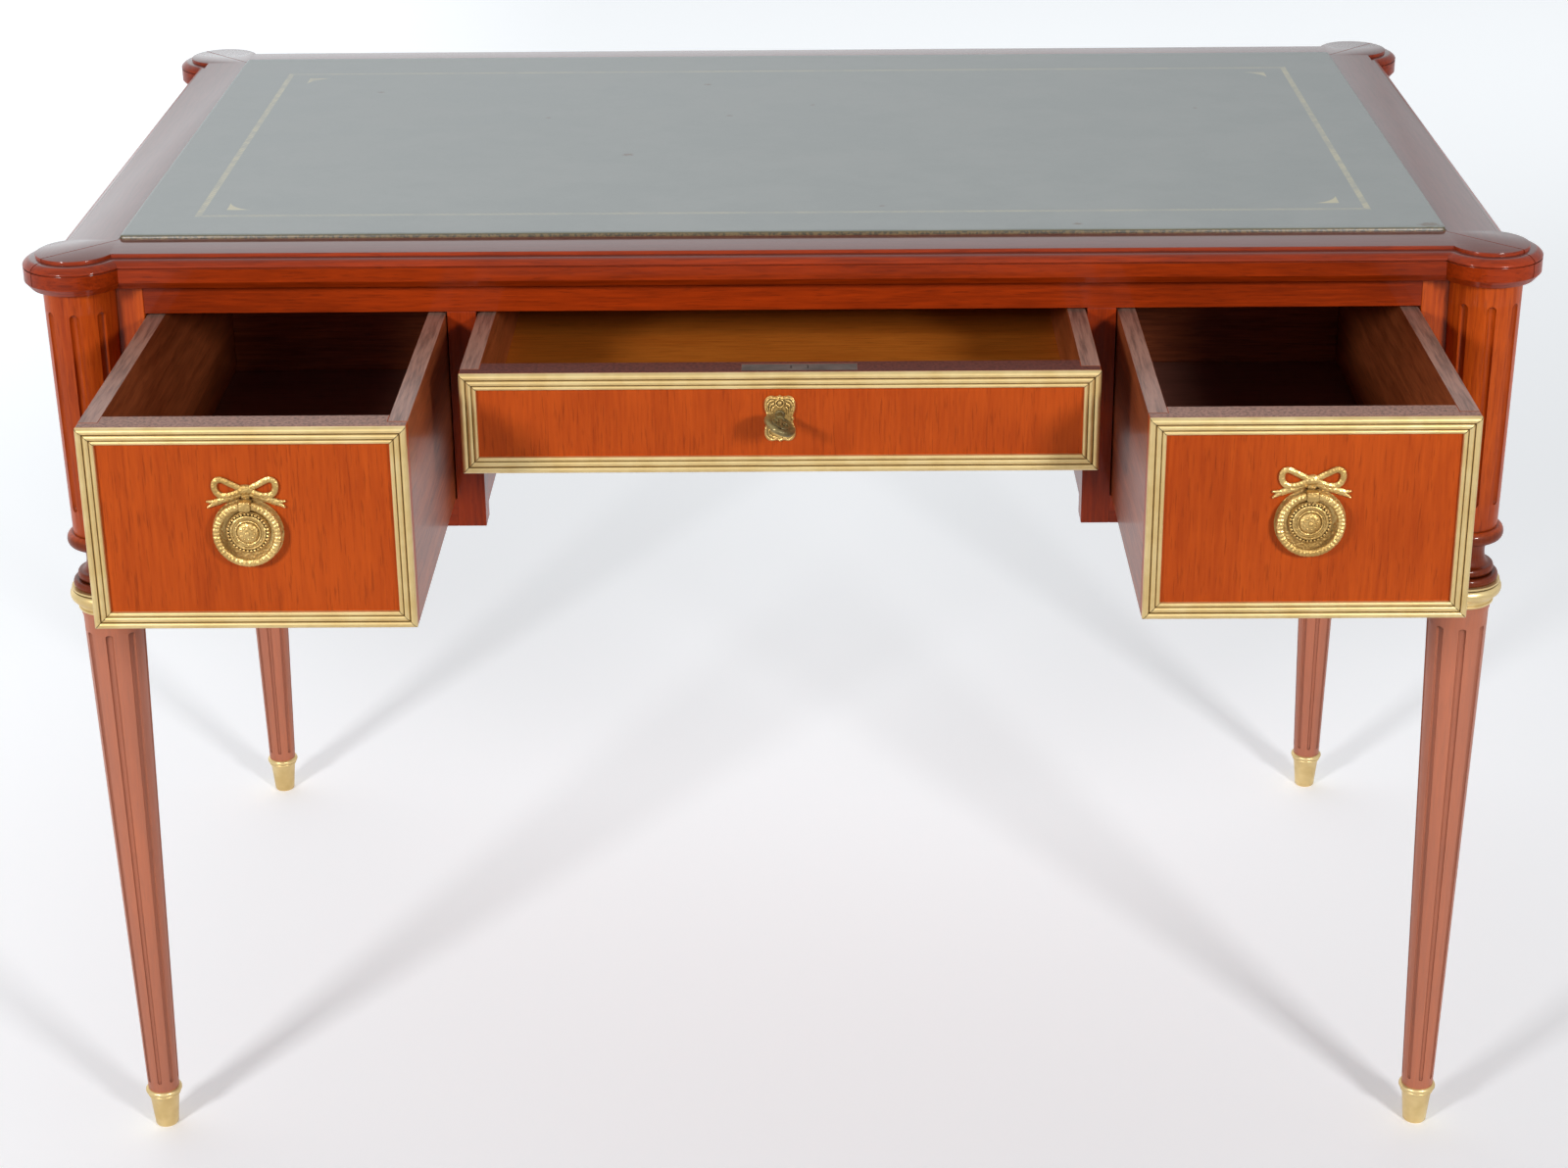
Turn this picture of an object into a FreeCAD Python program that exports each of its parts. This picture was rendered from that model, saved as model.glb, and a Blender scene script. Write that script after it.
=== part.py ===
import FreeCAD, Part
import math
import os
import re

import Sketcher

# Writing desk with a leather-lined top, three drawers and turned, fluted legs.
# Millimetres, +Z up, +X to the right of a person standing in front, who looks along +Y.
# The drawers stand open by the distances named below; the origin is on the floor, midway
# between the foremost pull and the back of the top.

SIZES = {
    # Top: four mitred rails with a moulded edge that runs round a circular ear at each corner
    "top_height": 760,
    "top_width": 1064,
    "top_depth": 634,
    "top_thickness": 25,
    "frame_margin": 36,
    "ear_inset": 10,
    "ear_radius": 27,
    "edge_fillet_drop": 2.6,
    "edge_step": 1.5,
    "edge_ovolo_drop": 9.2,
    "edge_reach": 13.2,
    "edge_fascia_height": 7.7,
    "edge_chamfer": 4.4,
    "tongue_length": 8,
    "tongue_thickness": 6,
    "leather_thickness": 3.6,
    "leather_round": 2.6,
    "leather_gap": 0.6,
    # Legs: post, engaged column, turned neck, tapered leg
    "apron_height": 197,
    "post_side": 46.5,
    "column_top_radius": 27,
    "column_foot_radius": 24,
    "torus_seat_radius": 24.8,
    "torus_height": 11,
    "torus_rise": 4.2,
    "neck_radius": 21.2,
    "scotia_height": 17,
    "scotia_depth": 4.2,
    "ring_height": 8,
    "ring_rise": 3.3,
    "bell_radius": 28,
    "bell_height": 9,
    "collar_seat_radius": 23.8,
    "leg_top_radius": 23.2,
    "leg_foot_radius": 13.5,
    "tenon_side": 11,
    "turned_sides": 24,
    "flute_count": 8,
    "flute_end": 5,
    "column_flute_top_margin": 19,
    "column_flute_foot_margin": 22,
    "leg_flute_top_margin": 16,
    "leg_flute_foot_margin": 11,
    # Brass on the legs
    "collar_height": 23,
    "collar_lip_radius": 29.4,
    "collar_torus_radius": 31.4,
    "collar_torus_height": 13,
    "collar_waist_radius": 26.4,
    "collar_foot_radius": 25.2,
    "cup_height": 36,
    "cup_foot_radius": 10.6,
    "cup_neck_radius": 13,
    "cup_flange_height": 7,
    "cup_flange_radius": 15.6,
    "cup_floor": 5,
    "seat_gap": 0.05,
    # Apron
    "rail_thickness": 22,
    "front_rail_height": 24.5,
    "bottom_rail_height": 22.5,
    "divider_width": 21.5,
    "divider_centre": 238.6,
    "partition_thickness": 18,
    "panel_thickness": 18,
    "dustboard_thickness": 12,
    "kicker_width": 60,
    "guide_height": 20,
    "stop_width": 30,
    "stop_depth": 16,
    "stop_height": 8,
    "stop_inset": 40,
    # Drawers
    "drawer_top_gap": 2.2,
    "centre_drawer_height": 74.6,
    "drawer_length": 500,
    "drawer_side_gap": 1.1,
    "running_gap": 0.3,
    "drawer_front_thickness": 22,
    "drawer_lip": 9,
    "drawer_side_thickness": 13.5,
    "drawer_back_thickness": 12,
    "drawer_back_drop": 5,
    "drawer_bottom_thickness": 7,
    "drawer_bottom_lift": 11,
    "groove_depth": 6,
    "left_out": 239.4,
    "right_out": 231.4,
    "centre_out": 133.5,
    # Reeded brass frames
    "moulding_width": 12,
    "moulding_base": 2.2,
    "outer_reed": 4.4,
    "middle_reed": 4.6,
    "reed_rise": 1.7,
    "inner_reed_rise": 1.1,
    "side_frame_margin": 14,
    # Ring pulls
    "pull_drop": 2,
    "round_sides": 20,
    "pull_plate_radius": 24.4,
    "pull_plate_rim": 1.8,
    "rosette_radius": 14.4,
    "rosette_height": 4.2,
    "rosette_boss_radius": 7.4,
    "rosette_boss_rise": 1.6,
    "pull_ring_radius": 21,
    "pull_ring_band": 5.6,
    "pull_ring_thickness": 4.4,
    "pull_ring_offset": 6.4,
    "knuckle_radius": 3.4,
    "knuckle_width": 8,
    "knuckle_web": 3.6,
    "knuckle_end_gap": 0.4,
    "pin_radius": 1.5,
    "pin_gap": 0.08,
    "pin_hold": 2,
    "bow_thickness": 2.6,
    "bow_lift": 31,
    "bow_loop_reach": 23,
    "bow_loop_rise": 9.2,
    "bow_knot_width": 11,
    "bow_knot_height": 8,
    "bow_tail_reach": 28,
    "bow_tail_drop": 13,
    # Lock, escutcheon and key of the middle drawer
    "key_drop": 31.3,
    "lock_plate_length": 82,
    "lock_plate_width": 14,
    "lock_plate_thickness": 2.4,
    "lock_plate_inset": 3.5,
    "lock_offset": 14,
    "lock_case_length": 60,
    "lock_case_depth": 12,
    "lock_case_height": 46,
    "lock_case_inset": 5,
    "bolt_width": 12,
    "bolt_thickness": 6,
    "bolt_length": 24,
    "bolt_gap": 0.3,
    "bolt_throw": 7,
    "strike_gap": 2,
    "strike_depth": 10,
    "keyway_radius": 7.4,
    "key_hole_radius": 2.9,
    "escutcheon_width": 22,
    "escutcheon_height": 35,
    "escutcheon_thickness": 1.6,
    "escutcheon_drop": 3.2,
    "key_shank_radius": 2.6,
    "key_end_gap": 0.6,
    "key_stem": 17,
    "key_bit_length": 6,
    "key_bit_reach": 6.6,
    "key_bit_thickness": 2,
    "key_bow_radius": 11.6,
    "key_bow_thickness": 3.4,
    "key_bow_hole": 3.2,
    "key_bow_spread": 5.2,
    "key_turn": 25,
    # Cuts run past the faces that they open by this much
    "overrun": 5,
}

PLACES = {
    # Floor plan, from the leg axes
    "leg_x": "top_width / 2 - ear_inset",
    "leg_spread": "top_depth - 2 * ear_inset",
    "ear_reach": "ear_radius + edge_reach",
    "pull_reach": "pull_ring_offset + knuckle_radius",
    "front_y": "(left_out + pull_reach - leg_spread - ear_reach) / 2",
    "back_y": "front_y + leg_spread",
    "post_x": "leg_x - post_side",
    "under_top": "top_height - top_thickness",
    "apron_bottom": "under_top - apron_height",
    "panel_x": "top_width / 2 - frame_margin",
    "panel_front": "front_y - ear_inset + frame_margin",
    "panel_deep": "top_depth - 2 * frame_margin",
    "back_inner": "back_y - panel_thickness",
    "rail_back": "front_y + rail_thickness",
    "carcass_deep": "back_inner - rail_back",
    # Top edge, measured down from the top face and out from the arris
    "edge_ovolo_bottom": "edge_fillet_drop + edge_ovolo_drop",
    "edge_fascia_bottom": "edge_ovolo_bottom + edge_fascia_height",
    # Leg heights, from the apron down
    "torus_foot": "apron_bottom - torus_height",
    "scotia_foot": "torus_foot - scotia_height",
    "ring_foot": "scotia_foot - ring_height",
    "collar_top": "ring_foot - bell_height",
    "collar_foot": "collar_top - collar_height",
    # Openings in the apron
    "front_rail_bottom": "under_top - front_rail_height",
    "bottom_rail_top": "apron_bottom + bottom_rail_height",
    "divider_inner": "divider_centre - divider_width / 2",
    "divider_outer": "divider_centre + divider_width / 2",
    "partition_inner": "divider_outer - partition_thickness",
    "side_drawer_bottom": "bottom_rail_top + running_gap",
    "side_drawer_top": "front_rail_bottom - drawer_top_gap",
    "side_drawer_height": "side_drawer_top - side_drawer_bottom",
    "side_drawer_width": "post_x - divider_outer - 2 * drawer_side_gap",
    "side_drawer_x": "(post_x + divider_outer) / 2",
    "centre_drawer_bottom": "side_drawer_top - centre_drawer_height",
    "centre_drawer_width": "2 * (divider_inner - drawer_side_gap)",
    "centre_rail_top": "centre_drawer_bottom - running_gap",
    "centre_rail_bottom": "centre_rail_top - bottom_rail_height",
    # Reeds
    "inner_reed": "moulding_width - outer_reed - middle_reed",
    # Pulls
    "pull_z": "side_drawer_bottom + side_drawer_height / 2 - pull_drop",
    "pin_half": "knuckle_width / 2 + knuckle_end_gap",
    # Lock
    "key_z": "side_drawer_top - key_drop",
    "centre_face": "front_y - centre_out",
    "lock_case_y": "centre_face + lock_case_inset",
    "lock_case_z": "side_drawer_top - lock_case_height",
    "keyway_end": "lock_case_inset + lock_case_depth - lock_plate_thickness",
    "key_reach": "keyway_end - key_end_gap",
    "bolt_y": "lock_case_y + (lock_case_depth - bolt_thickness) / 2",
}

FLAT_TURNS = {
    "XY": FreeCAD.Rotation(),
    "XZ": FreeCAD.Rotation(FreeCAD.Vector(1, 0, 0), 90),
    "YZ": FreeCAD.Rotation(FreeCAD.Vector(1, 1, 1), 120),
}
TO_FRONT = FreeCAD.Rotation(FreeCAD.Vector(1, 0, 0), 90)
TO_BACK = FreeCAD.Rotation(FreeCAD.Vector(1, 0, 0), -90)
TO_RIGHT = FreeCAD.Rotation(FreeCAD.Vector(0, 1, 0), 90)
ORIGIN = ("0", "0", "0")
FLATNESS_SHARE = 1e-9

# Mouldings that repeat are made of flats; (out, down) are shares of their rise and height
OVOLO_SHARES = ((0, 0), (0.64, 0.36), (1, 1))
TORUS_SHARES = ((0, 0), (1, 0.25), (1, 0.75), (0, 1))
SCOTIA_SHARES = ((0, 0), (-1, 0.35), (-1, 0.65), (0, 1))
RING_SHARES = ((1, 0.3), (1, 0.7), (0, 1))
# A reed; (along, out) are shares of its width and rise
REED_SHARES = ((0, 0), (0.22, 0.8), (0.5, 1), (0.78, 0.8))
# Upper right quarter of the escutcheon; (across, up) are shares of half its width and height
SHIELD_SHARES = ((0.85, 0), (0.87, 0.3), (0.95, 0.52), (1, 0.66), (0.95, 0.82), (0.8, 0.92), (0.42, 1))
# One flute and the land after it; (round, in) are shares of the flutes' pitch and depth
FLUTE_SHARES = ((-0.2, 0), (-0.1, 1), (0.1, 1), (0.2, 0), (0.5, 0))
FLUTE_DEPTH_SHARE = 0.105
# Bow over a pull; (across, up) are shares of the reach and rise of a loop, or of a tail
LOOP_SHARES = ((0.14, -0.3), (0.14, 0.3), (0.52, 0.82), (0.8, 1), (1, 0.3), (0.95, -0.42), (0.66, -0.74))
LOOP_EYE_SHARES = ((0.34, 0), (0.54, 0.38), (0.78, 0.6), (0.87, 0.16), (0.82, -0.22), (0.62, -0.4))
TAIL_SHARES = ((0.05, -0.1), (0.5, -0.45), (0.96, -0.6), (0.86, -0.85), (1, -1), (0.5, -0.88), (0.05, -0.5))

doc = FreeCAD.newDocument("writing_desk")
sheet = doc.addObject("Spreadsheet::Sheet", "sizes")
for row, (word, number) in enumerate(SIZES.items(), start=1):
    sheet.set(f"A{row}", word)
    sheet.set(f"B{row}", str(number))
    sheet.setAlias(f"B{row}", word)
doc.recompute()
pieces = []


# Sums in the sheet's words

def spelled(text):
    """Write a sum with the sheet's cells, putting each worked-out place in full."""
    def cell(match):
        word = match.group()
        if word in PLACES:
            return "(" + spelled(PLACES[word]) + ")"
        if word in SIZES:
            return "sizes." + word
        return word
    return re.sub(r"[a-z][a-z_]+", cell, text)


def value(text):
    return float(sheet.evalExpression(spelled(text)))


def moved(at, by):
    """A place given by a corner and a step from it."""
    return tuple(f"{corner} + ({step})" for corner, step in zip(at, by))


def bind(thing, **sums):
    for name, text in sums.items():
        thing.setExpression(name, spelled(text))


def place(thing, at, turn=None):
    thing.Placement = FreeCAD.Placement(FreeCAD.Vector(), turn or FreeCAD.Rotation())
    for letter, text in zip("xyz", at):
        thing.setExpression("Placement.Base." + letter, spelled(text))


def keep(thing, label):
    """Hand in a finished piece under its own name."""
    thing.Label = label
    pieces.append(thing)
    return thing


# Solids

def box(name, corner, size):
    solid = doc.addObject("Part::Box", name)
    bind(solid, Length=size[0], Width=size[1], Height=size[2])
    place(solid, corner)
    return solid


def rod(name, at, radius, length, turn=None):
    solid = doc.addObject("Part::Cylinder", name)
    bind(solid, Radius=radius, Height=length)
    place(solid, at, turn)
    return solid


def fuse(name, *solids):
    joined = doc.addObject("Part::MultiFuse", name)
    joined.Shapes = list(solids)
    joined.Refine = True
    return joined


def cut(name, base, *tools):
    left = doc.addObject("Part::Cut", name)
    left.Base = base
    left.Tool = tools[0] if len(tools) == 1 else fuse(name + "_tools", *tools)
    left.Refine = True
    return left


def group(name, solids):
    set_of = doc.addObject("Part::Compound", name)
    set_of.Links = solids
    return set_of


def outline(name, points, plane="XY", at=ORIGIN, body=None):
    """A closed outline of straight edges through (across, up) points."""
    if body is None:
        sketch = doc.addObject("Sketcher::SketchObject", name)
        place(sketch, at, FLAT_TURNS[plane])
    else:
        sketch = body.newObject("Sketcher::SketchObject", name)
        origin = {part.Role: part for part in body.Origin.OriginFeatures}
        sketch.AttachmentSupport = [(origin[plane + "_Plane"], "")]
        sketch.MapMode = "FlatFace"
    spots = [FreeCAD.Vector(value(across), value(up), 0) for across, up in points]
    edges = [sketch.addGeometry(Part.LineSegment(start, end))
             for start, end in zip(spots, spots[1:] + spots[:1])]
    for edge, following in zip(edges, edges[1:] + edges[:1]):
        sketch.addConstraint(Sketcher.Constraint("Coincident", edge, 2, following, 1))
    for edge, point, spot in zip(edges, points, spots):
        for kind, text, length in (("DistanceX", point[0], spot.x), ("DistanceY", point[1], spot.y)):
            index = sketch.addConstraint(Sketcher.Constraint(kind, -1, 1, edge, 1, length))
            sketch.setExpression(f"Constraints[{index}]", spelled(text))
    return sketch


def extruded(name, sketch, length, centred=False):
    solid = doc.addObject("Part::Extrusion", name)
    solid.Base = sketch
    solid.DirMode = "Normal"
    solid.Solid = True
    solid.Symmetric = centred
    bind(solid, LengthFwd=length)
    return solid


def turned(name, points, at, axis=FreeCAD.Vector(0, 0, 1), plane="XZ"):
    """A solid turned about an axis through the outline's origin."""
    solid = doc.addObject("Part::Revolution", name)
    solid.Source = outline(name + "_profile", points, plane)
    solid.Axis = axis
    solid.Angle = 360
    solid.Solid = True
    place(solid, at)
    return solid


def swell(radius, top, rise, height, shares):
    """Points of a moulding on a turned profile, from its top down."""
    return [(f"{radius} + ({out}) * {rise}", f"{top} - {down} * {height}") for out, down in shares]


def prism(name, at, radius, length, turn=None):
    """A round piece with flat sides."""
    solid = doc.addObject("Part::Prism", name)
    bind(solid, Polygon="round_sides", Circumradius=radius, Height=length)
    place(solid, at, turn)
    return solid


def ring_of(radius, height, sides):
    """Corners of a regular ring about Z."""
    angles = [2 * math.pi * side / sides for side in range(sides)]
    return [FreeCAD.Vector(radius * math.cos(angle), radius * math.sin(angle), height) for angle in angles]


def flat_faces(corners):
    """One face on four corners in a plane, otherwise two on three corners each."""
    first, second, third, fourth = corners
    twist = (second - first).cross(third - first).dot(fourth - first)
    spread = (third - first).Length ** 3
    runs = [corners] if abs(twist) < FLATNESS_SHARE * spread else [corners[:3], [first, third, fourth]]
    return [Part.Face(Part.makePolygon(run + run[:1])) for run in runs]


def flat_sided(name, rings, hollow=False):
    """A solid with flat faces between each ring of corners and the next.

    The first and last ring are closed over, or joined to each other where the piece is hollow.
    """
    faces = []
    for low, high in zip(rings, rings[1:] + rings[:1] if hollow else rings[1:]):
        for corner, following in zip(range(len(low)), [*range(1, len(low)), 0]):
            faces += flat_faces([low[corner], low[following], high[following], high[corner]])
    if not hollow:
        faces += [Part.Face(Part.makePolygon(ring + ring[:1])) for ring in (rings[0], rings[-1])]
    shell = Part.makeShell(faces)
    shell.sewShape()
    solid = Part.makeSolid(shell)
    if solid.Volume < 0:
        solid.reverse()
    piece = doc.addObject("Part::Feature", name)
    piece.Shape = solid.removeSplitter()
    return piece


def turned_flats(name, points, at, hollow=False):
    """A piece about Z from (radius, height) points, with flat sides."""
    sides = int(value("turned_sides"))
    rings = [ring_of(value(radius), value(height), sides) for radius, height in points]
    piece = flat_sided(name, rings, hollow)
    place(piece, at)
    return piece


# Top

def edge_outline(inner, out):
    """Section of the moulded edge, from the inner face round the arris, ovolo and fascia."""
    ovolo = [(out(f"edge_step + {reach} * (edge_reach - edge_step)"),
              f"-(edge_fillet_drop + {down} * edge_ovolo_drop)") for reach, down in OVOLO_SHARES]
    return [
        (inner, "0"),
        (out("0"), "0"),
        (out("0"), "-edge_fillet_drop"),
        *ovolo,
        (out("edge_reach"), "-edge_fascia_bottom"),
        (out("edge_reach - edge_chamfer"), "-top_thickness"),
        (inner, "-top_thickness"),
    ]


def top_rail(label, length, at, turn):
    """A rail along X whose moulded edge faces -Y, mitred through the middle of both ears."""
    ear_x = f"({length}) / 2 - ear_inset"
    section = outline(label + "_section", edge_outline("frame_margin", lambda reach: f"-({reach})"), "YZ")
    straight = extruded(label + "_straight", section, f"2 * ({ear_x})", centred=True)
    ears = [turned(label + "_ear", edge_outline("0", lambda reach: f"ear_radius + {reach}"),
                   (f"{side}({ear_x})", "ear_inset", "0")) for side in ("-", "")]
    wide = f"{ear_x} + ear_reach + overrun"
    narrow = f"({length}) / 2 - frame_margin"
    mitre = outline(label + "_mitre", [
        (f"-({wide})", "ear_inset - ear_reach - overrun"),
        (wide, "ear_inset - ear_reach - overrun"),
        (narrow, "frame_margin"),
        (f"-({narrow})", "frame_margin"),
    ], "XY", ("0", "0", "-top_thickness - overrun"))
    trim = extruded(label + "_trim", mitre, "top_thickness + 2 * overrun")
    whole = doc.addObject("Part::Common", label + "_whole")
    whole.Base = fuse(label + "_blank", straight, *ears)
    whole.Tool = trim
    groove = box(label + "_groove", (f"-({length}) / 2", "frame_margin - tongue_length", tongue_bottom),
                 (length, "tongue_length + overrun", "tongue_thickness"))
    rail = cut(label + "_rail", whole, groove)
    place(rail, at, FreeCAD.Rotation(FreeCAD.Vector(0, 0, 1), turn))
    keep(rail, label)


tongue_bottom = "-(top_thickness + tongue_thickness) / 2"
top_middle = "front_y - ear_inset + top_depth / 2"
top_rail("top_rail_front", "top_width", ("0", "front_y - ear_inset", "top_height"), 0)
top_rail("top_rail_right", "top_depth", ("top_width / 2", top_middle, "top_height"), 90)
top_rail("top_rail_back", "top_width", ("0", "back_y + ear_inset", "top_height"), 180)
top_rail("top_rail_left", "top_depth", ("-top_width / 2", top_middle, "top_height"), 270)

board = box("top_board", ("-panel_x", "panel_front", "under_top"),
            ("2 * panel_x", "panel_deep", "top_thickness"))
tongue = box("top_tongue",
             ("-panel_x - tongue_length", "panel_front - tongue_length", f"top_height + {tongue_bottom}"),
             ("2 * (panel_x + tongue_length)", "panel_deep + 2 * tongue_length", "tongue_thickness"))
keep(fuse("top_panel_whole", board, tongue), "top_panel")


def leather_lining():
    """A flat sheet with its upper edges rounded over."""
    body = doc.addObject("PartDesign::Body", "leather")
    reach_x = "panel_x - leather_gap"
    near = "panel_front + leather_gap"
    far = "panel_front + panel_deep - leather_gap"
    sheet_outline = outline("leather_outline", [
        (f"-({reach_x})", near), (reach_x, near), (reach_x, far), (f"-({reach_x})", far)], "XY", body=body)
    pad = body.newObject("PartDesign::Pad", "leather_pad")
    pad.Profile = sheet_outline
    bind(pad, Length="leather_thickness")
    doc.recompute()
    upper = max(range(len(pad.Shape.Faces)), key=lambda face: pad.Shape.Faces[face].CenterOfMass.z)
    rounding = body.newObject("PartDesign::Fillet", "leather_rounding")
    rounding.Base = (pad, [f"Face{upper + 1}"])
    bind(rounding, Radius="leather_round")
    body.Tip = rounding
    place(body, ("0", "0", "top_height"))
    keep(body, "leather_lining")


leather_lining()


# Legs

NECK_PROFILE = [
    *swell("torus_seat_radius", "apron_bottom", "torus_rise", "torus_height", TORUS_SHARES),
    *swell("neck_radius", "torus_foot", "scotia_depth", "scotia_height", SCOTIA_SHARES),
    *swell("neck_radius", "scotia_foot", "ring_rise", "ring_height", RING_SHARES),
    ("bell_radius", "collar_top"),
    ("collar_seat_radius", "collar_top"),
    ("collar_seat_radius", "collar_foot"),
]


def fluted_ring(radius, height, flutes):
    """Corners of a fluted section about Z; flutes holds the numbers of those that are cut."""
    count = int(value("flute_count"))
    corners = []
    for number in range(count):
        depth_share = FLUTE_DEPTH_SHARE if number in flutes else 0
        for round_share, in_share in FLUTE_SHARES:
            angle = 2 * math.pi * (number + round_share) / count
            reach = radius * (1 - depth_share * in_share)
            corners.append(FreeCAD.Vector(reach * math.cos(angle), reach * math.sin(angle), height))
    return corners


def fluted_shaft(name, foot, top, flute_foot, flute_top, flutes):
    """A tapered shaft whose flutes run out at both ends; foot and top are (radius, height)."""
    foot_radius, foot_z = (value(text) for text in foot)
    top_radius, top_z = (value(text) for text in top)
    stations = [(foot[1], ()), (f"{flute_foot} - flute_end", ()), (flute_foot, flutes),
                (flute_top, flutes), (f"{flute_top} + flute_end", ()), (top[1], ())]
    rings = []
    for height, cut_here in stations:
        risen_share = (value(height) - foot_z) / (top_z - foot_z)
        radius = foot_radius + (top_radius - foot_radius) * risen_share
        rings.append(fluted_ring(radius, value(height), cut_here))
    return flat_sided(name, rings)


def leg(label, at, turn):
    """A turned leg about Z, whose square post fills the quarter between +X and +Y."""
    all_round = range(int(value("flute_count")))
    column = fluted_shaft(label + "_column", ("column_foot_radius", "apron_bottom"),
                          ("column_top_radius", "under_top"), "apron_bottom + column_flute_foot_margin",
                          "under_top - column_flute_top_margin",
                          all_round[len(all_round) // 4 + 1:])
    shaft = fluted_shaft(label + "_shaft", ("leg_foot_radius", "cup_height"),
                         ("leg_top_radius", "collar_foot"), "cup_height + leg_flute_foot_margin",
                         "collar_foot - leg_flute_top_margin", all_round)
    neck = turned_flats(label + "_neck", NECK_PROFILE, ORIGIN)
    post = box(label + "_post", ("0", "0", "apron_bottom"),
               ("post_side", "post_side", "under_top - apron_bottom"))
    tenon = box(label + "_tenon", ("-tenon_side / 2", "-tenon_side / 2", "cup_floor"),
                ("tenon_side", "tenon_side", "cup_height - cup_floor"))
    whole = fuse(label + "_whole", post, column, neck, shaft, tenon)
    place(whole, at, FreeCAD.Rotation(FreeCAD.Vector(0, 0, 1), turn))
    keep(whole, label)


COLLAR_PROFILE = [
    ("collar_seat_radius + seat_gap", "collar_foot"),
    ("collar_foot_radius", "collar_foot"),
    ("collar_waist_radius", "collar_top - collar_torus_height"),
    ("collar_torus_radius", "collar_top - collar_torus_height / 2"),
    ("collar_lip_radius", "collar_top"),
    ("collar_seat_radius + seat_gap", "collar_top"),
]
CUP_PROFILE = [
    ("cup_foot_radius", "0"),
    ("cup_neck_radius", "cup_height - cup_flange_height"),
    ("cup_flange_radius", "cup_height - cup_flange_height / 2"),
    ("leg_foot_radius", "cup_height"),
]
LEG_CORNERS = {
    "front_left": ("-leg_x", "front_y", 0),
    "front_right": ("leg_x", "front_y", 90),
    "back_right": ("leg_x", "back_y", 180),
    "back_left": ("-leg_x", "back_y", 270),
}
collars = []
cups = []
for corner, (leg_across, leg_along, leg_turn) in LEG_CORNERS.items():
    leg_place = (leg_across, leg_along, "0")
    leg("leg_" + corner, leg_place, leg_turn)
    collars.append(turned_flats("collar_" + corner, COLLAR_PROFILE, leg_place, hollow=True))
    socket_side = "tenon_side + 2 * seat_gap"
    socket_corner = moved(leg_place, (f"-({socket_side}) / 2", f"-({socket_side}) / 2", "cup_floor"))
    socket = box("socket_" + corner, socket_corner, (socket_side, socket_side, "cup_height"))
    cups.append(cut("cup_" + corner, turned_flats("cup_blank_" + corner, CUP_PROFILE, leg_place), socket))
keep(group("collars", collars), "leg_collars")
keep(group("cups", cups), "foot_cups")


# Reeded frames

def reeded_frame(name, width, height, at, turn=0):
    """A mitred frame of three reeds, in an upright plane, facing -Y; at is its lower middle, at the back."""
    path = outline(name + "_path", [
        ("0", "0"), (f"({width}) / 2", "0"), (f"({width}) / 2", height),
        (f"-({width}) / 2", height), (f"-({width}) / 2", "0")], "XZ")
    section = [("0", "0")]
    reeds_across = (
        ("0", "outer_reed", "reed_rise"),
        ("outer_reed", "middle_reed", "reed_rise"),
        ("outer_reed + middle_reed", "inner_reed", "inner_reed_rise"),
    )
    for start, width_of, rise in reeds_across:
        section += [(f"-(moulding_base + {out} * {rise})", f"{start} + {along} * {width_of}")
                    for along, out in REED_SHARES]
    section += [("-moulding_base", "moulding_width"), ("0", "moulding_width")]
    reeds = outline(name + "_reeds", section, "YZ")
    frame = doc.addObject("Part::Sweep", name)
    frame.Sections = [reeds]
    frame.Spine = (path, [f"Edge{edge}" for edge in range(1, 6)])
    frame.Solid = True
    frame.Transition = "Right corner"
    place(frame, at, FreeCAD.Rotation(FreeCAD.Vector(0, 0, 1), turn))
    return frame


# Apron

front_bar = box("front_bar", ("-post_x", "front_y", "front_rail_bottom"),
                ("2 * post_x", "rail_thickness", "front_rail_height"))
strike = box("strike", ("lock_offset - bolt_width / 2 - strike_gap", "front_y + lock_case_inset",
                        "front_rail_bottom - overrun"),
             ("bolt_width + 2 * strike_gap", "lock_case_depth", "strike_depth + overrun"))
keep(cut("front_bar_struck", front_bar, strike), "front_rail")
keep(box("centre_bar", ("-divider_inner", "front_y", "centre_rail_bottom"),
         ("2 * divider_inner", "rail_thickness", "bottom_rail_height")), "bottom_rail_centre")
keep(box("centre_board", ("-partition_inner", "rail_back", "centre_rail_top - dustboard_thickness"),
         ("2 * partition_inner", "carcass_deep", "dustboard_thickness")), "dustboard_centre")

panel_blank = box("panel_blank", ("-post_x", "back_inner", "apron_bottom"),
                  ("2 * post_x", "panel_thickness", "under_top - apron_bottom"))
knee_space = box("knee_space", ("-divider_inner", "back_inner - overrun", "apron_bottom - overrun"),
                 ("2 * divider_inner", "panel_thickness + 2 * overrun",
                  "centre_rail_bottom - apron_bottom + overrun"))
keep(cut("panel_cut", panel_blank, knee_space), "back_panel")

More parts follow.
